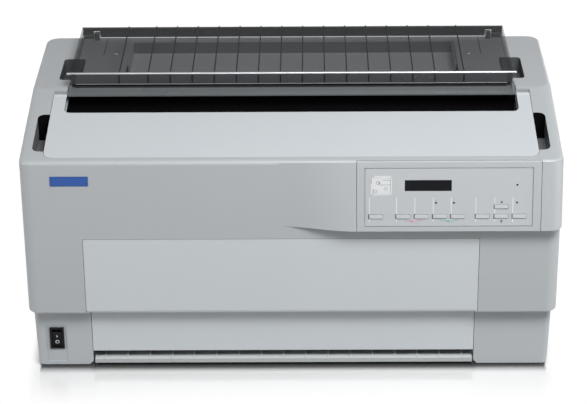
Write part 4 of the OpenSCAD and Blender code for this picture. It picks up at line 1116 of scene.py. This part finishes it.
@dataclass
class PrintMechanism:
    """Side frames, stays, carriage, print head, ribbon, belt and carriage motor."""

    deflector_shade: Region = Region(along=(-0.008, 0.008), height=(0.2865, 1.0))

    def build(self) -> None:
        """Builds the print mechanism."""
        for node in ("left_frame", "right_frame"):
            dress(node, Finishes.zinc, bevel=0.0003)
        stays = dress("frame_stays", Finishes.zinc, bevel=0.0003)
        # The deflector plate under the slot is painted near-black: a black plate, made darker still as
        # painted shade for the dark inside the slot.
        paint_parts(stays, Finishes.shade, self.deflector_shade.holds)
        dress("carriage_shaft", Finishes.steel, bevel=0.0005)
        dress("carriage", Finishes.dark, bevel=0.0005)
        dress("print_head", Finishes.head, bevel=0.0003)
        dress("ribbon_cartridge", Finishes.black, bevel=0.0006)
        dress("carriage_belt", Finishes.rubber, bevel=0.0)
        dress("carriage_motor", Finishes.dark, bevel=0.0006)
        for node in ("drive_pulley", "idler_pulley"):
            dress(node, Finishes.brass, bevel=0.0003)


@dataclass
class PaperFeed:
    """Platen, feed gears, tractor shafts, tractors, gates and the rear tray."""

    lit_tray_floor: Region = Region(along=(-1.0, 0.1778), height=(0.3194, 0.3206))
    shaded_tray_wall: Region = Region(along=(0.1766, 1.0), height=(0.3206, 1.0))

    def build(self) -> None:
        """Builds the paper feed."""
        dress("platen_shaft", Finishes.steel, bevel=0.0005)
        dress("platen_roller", Finishes.rubber, bevel=0.0005)
        for node in ("platen_gear", "front_idler_gear", "rear_idler_gear"):
            dress(node, Finishes.acetal, bevel=0.0)
        dress("feed_pinion", Finishes.brass, bevel=0.0)
        dress("feed_motor", Finishes.dark, bevel=0.0006)
        for end in ("front", "rear"):
            dress(f"{end}_tractor_shaft", Finishes.steel, bevel=0.0)
            for side in ("left", "right"):
                dress(f"{end}_{side}_tractor", Finishes.dark, bevel=0.0003)
                dress(f"{end}_{side}_gate", Finishes.gate, bevel=0.0003)
        dress("tractor_rails", Finishes.steel, bevel=0.0004)
        guide = dress("rear_paper_guide", Finishes.guide, bevel=0.0003)
        # The tray floor is painted lighter than the guide: painted light.
        paint_parts(guide, Finishes.tray, self.lit_tray_floor.holds)
        # The tray's rear wall is painted darker than the guide: painted shade.
        paint_parts(guide, Finishes.shaded_tray_wall, self.shaded_tray_wall.holds)


@dataclass
class Electronics:
    """Power supply with the inlet and the main board with its ports."""

    def build(self) -> None:
        """Builds the boards."""
        dress("power_supply", Finishes.zinc, bevel=0.0004)
        dress("main_board", Finishes.board, bevel=0.0)


# ---------------------------------------------------------------- studio


@dataclass
class Lamp:
    """A soft area lamp."""

    name: str
    place: Point
    aim: Point
    size: tuple[float, float]
    watts: float

    def build(self) -> None:
        """Adds the lamp to the scene."""
        light = bpy.data.lights.new(self.name, "AREA")
        light.shape = "RECTANGLE"
        light.size, light.size_y = self.size
        light.energy = self.watts
        lamp = bpy.data.objects.new(self.name, light)
        bpy.context.scene.collection.objects.link(lamp)
        lamp.location = self.place
        lamp.rotation_euler = (Vector(self.aim) - Vector(self.place)).to_track_quat("-Z", "Y").to_euler()


@dataclass
class Camera:
    """The camera at the photographed angle."""

    eye: Point = (0.0265, -2.58037, 1.39543)
    right: Point = (0.99995363, 0.00629021, -0.00729146)
    up: Point = (0.00388469, 0.42934162, 0.90313381)
    back: Point = (0.00881143, -0.90312026, 0.42929728)
    focal_pixels: float = 2066.0
    image_width: int = 587
    sensor: float = 36.0
    clip: Range = (0.05, 50.0)

    def build(self) -> None:
        """Adds the camera and makes it the scene's."""
        data = bpy.data.cameras.new("camera")
        data.sensor_width = self.sensor
        data.sensor_fit = "HORIZONTAL"
        data.lens = self.focal_pixels * self.sensor / self.image_width
        data.clip_start, data.clip_end = self.clip
        camera = bpy.data.objects.new("camera", data)
        bpy.context.scene.collection.objects.link(camera)
        axes = Matrix((self.right, self.up, self.back)).transposed()
        camera.matrix_world = Matrix.Translation(self.eye) @ axes.to_4x4()
        bpy.context.scene.camera = camera


def seen_white(sketch: NodeSketch, share: Socket | float) -> Socket:
    """Makes a mask of the rays that should show the pale background.

    Args:
        sketch: Sketch of the material or the world.
        share: Value of the mask for those rays.

    Returns:
        The mask's socket.
    """
    path = sketch.add("LightPath").outputs
    mirrored = sketch.combine("MAXIMUM", path["Is Glossy Ray"], path["Is Transmission Ray"])
    return sketch.combine("MULTIPLY", sketch.combine("MAXIMUM", path["Is Camera Ray"], mirrored), share)


@dataclass
class Floor:
    """Pale floor that keeps the shadow and a faint reflection near the object, with painted contact shadow
    along the object's foot.
    """

    size: float = 30.0
    foot_half: tuple[float, float] = (0.338, 0.158)
    pace: tuple[float, float] = (6.0, 1.0)
    fade: float = 0.13
    contact: float = 0.022
    colour: Colour = (0.86, 0.86, 0.86)
    colour_in_bounces: Colour = (0.22, 0.22, 0.22)
    painted_contact_shadow: Colour = (0.06, 0.06, 0.06)
    glow: float = 1.02

    def distance(self, sketch: NodeSketch) -> Socket:
        """Works out how far a place of the floor is from the foot of the object.

        Args:
            sketch: Sketch of the floor's material.

        Returns:
            The socket with the distance, which grows faster to the sides than to the front.
        """
        apart = sketch.add("SeparateXYZ")
        sketch.feed(apart.inputs[0], sketch.add("TexCoord").outputs["Object"])
        both = sketch.add("CombineXYZ")
        for number, (half, pace) in enumerate(zip(self.foot_half, self.pace)):
            away = sketch.combine("SUBTRACT", sketch.combine("ABSOLUTE", apart.outputs[number]), half)
            outside = sketch.combine("MAXIMUM", away, 0.0)
            sketch.feed(both.inputs[number], sketch.combine("MULTIPLY", outside, pace))
        length = sketch.add("VectorMath", operation="LENGTH")
        sketch.feed(length.inputs[0], both.outputs[0])
        return length.outputs["Value"]

    def material(self) -> bpy.types.Material:
        """Builds the floor's material.

        Returns:
            The new material.
        """
        material = bpy.data.materials.new("Pale floor")
        material.use_nodes = True
        sketch = NodeSketch(material.node_tree)
        shader = sketch.tree.nodes["Principled BSDF"]
        path = sketch.add("LightPath").outputs
        distance = self.distance(sketch)
        plain = sketch.tones(path["Is Diffuse Ray"], self.colour, self.colour_in_bounces)
        # Painted contact shadow: the floor's colour goes dark close to the foot of the object.
        apart = sketch.ranged(distance, (0.0, self.contact), kind="SMOOTHSTEP")
        sketch.feed(shader.inputs["Base Color"], sketch.tones(apart, self.painted_contact_shadow, plain))
        away = sketch.ranged(distance, (0.0, self.fade), kind="SMOOTHSTEP")
        sketch.feed(shader.inputs["Coat Weight"], sketch.combine("SUBTRACT", 1.0, away))
        shader.inputs["Roughness"].default_value = 0.12
        shader.inputs["IOR"].default_value = 1.9
        shader.inputs["Coat IOR"].default_value = 2.0
        shader.inputs["Coat Roughness"].default_value = 0.04
        glow = sketch.add("Emission")
        glow.inputs["Color"].default_value = (1.0, 1.0, 1.0, 1.0)
        glow.inputs["Strength"].default_value = self.glow
        surface = sketch.shaders(seen_white(sketch, away), shader, glow)
        below = sketch.add("NewGeometry").outputs["Backfacing"]
        through = sketch.combine("MAXIMUM", below, path["Is Shadow Ray"])
        seen = sketch.shaders(through, surface, sketch.add("BsdfTransparent"))
        sketch.feed(sketch.tree.nodes["Material Output"].inputs["Surface"], seen.outputs[0])
        return material

    def build(self) -> None:
        """Adds the floor."""
        clear_selection()
        bpy.ops.mesh.primitive_plane_add(size=self.size, location=(0, 0, 0))
        floor = bpy.context.object
        floor.name = "floor"
        floor.data.materials.append(self.material())


@dataclass
class World:
    """Soft world that looks white to the camera and in reflections."""

    light: float = 0.08

    def build(self) -> None:
        """Adds the world."""
        world = bpy.data.worlds.new("Pale world")
        bpy.context.scene.world = world
        world.use_nodes = True
        sketch = NodeSketch(world.node_tree)
        light = sketch.tree.nodes["Background"]
        light.inputs["Color"].default_value = (1.0, 1.0, 1.0, 1.0)
        light.inputs["Strength"].default_value = self.light
        white = sketch.add("Background")
        white.inputs["Strength"].default_value = 1.0
        seen = sketch.shaders(seen_white(sketch, 1.0), light, white)
        sketch.feed(sketch.tree.nodes["World Output"].inputs["Surface"], seen.outputs[0])


@dataclass
class Studio:
    """Camera, soft lamps, pale floor and pale world."""

    camera: Camera = field(default_factory=Camera)
    floor: Floor = field(default_factory=Floor)
    world: World = field(default_factory=World)
    lamps: tuple[Lamp, ...] = (
        Lamp("top_lamp", (0.6, -1.45, 2.1), (0.0, -0.1, 0.2), (1.4, 0.8), 65.0),
        Lamp("front_lamp", (0.2, -2.8, 0.35), (0.0, -0.1, 0.05), (1.8, 0.5), 1.8),
        Lamp("left_lamp", (-1.8, -0.65, 0.45), (-0.2, 0.0, 0.15), (0.9, 0.6), 11.0),
        Lamp("right_lamp", (2.0, -0.4, 0.5), (0.0, 0.0, 0.2), (1.0, 0.8), 14.0),
        Lamp("rear_lamp", (0.4, 2.6, 0.14), (0.0, 0.1, 0.14), (1.6, 0.3), 15.0),
        Lamp("low_lamp", (0.0, 0.0, -2.0), (0.0, 0.0, 0.0), (1.0, 0.6), 8.0),
    )

    def build(self) -> None:
        """Builds the studio."""
        for part in (self.camera, *self.lamps, self.floor, self.world):
            part.build()
        bpy.context.scene.view_settings.view_transform = "Standard"


def main() -> None:
    """Builds the studio and every sub-assembly, in order."""
    logging.basicConfig(level=logging.INFO, format="%(message)s")
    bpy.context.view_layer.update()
    Studio().build()
    for part in (Case(), TopCover(), SmokedCover(), FrontCover(), ControlPanel(), PowerSwitch(),
                 PrintMechanism(), PaperFeed(), Electronics()):
        part.build()


if __name__ == "__main__":
    main()
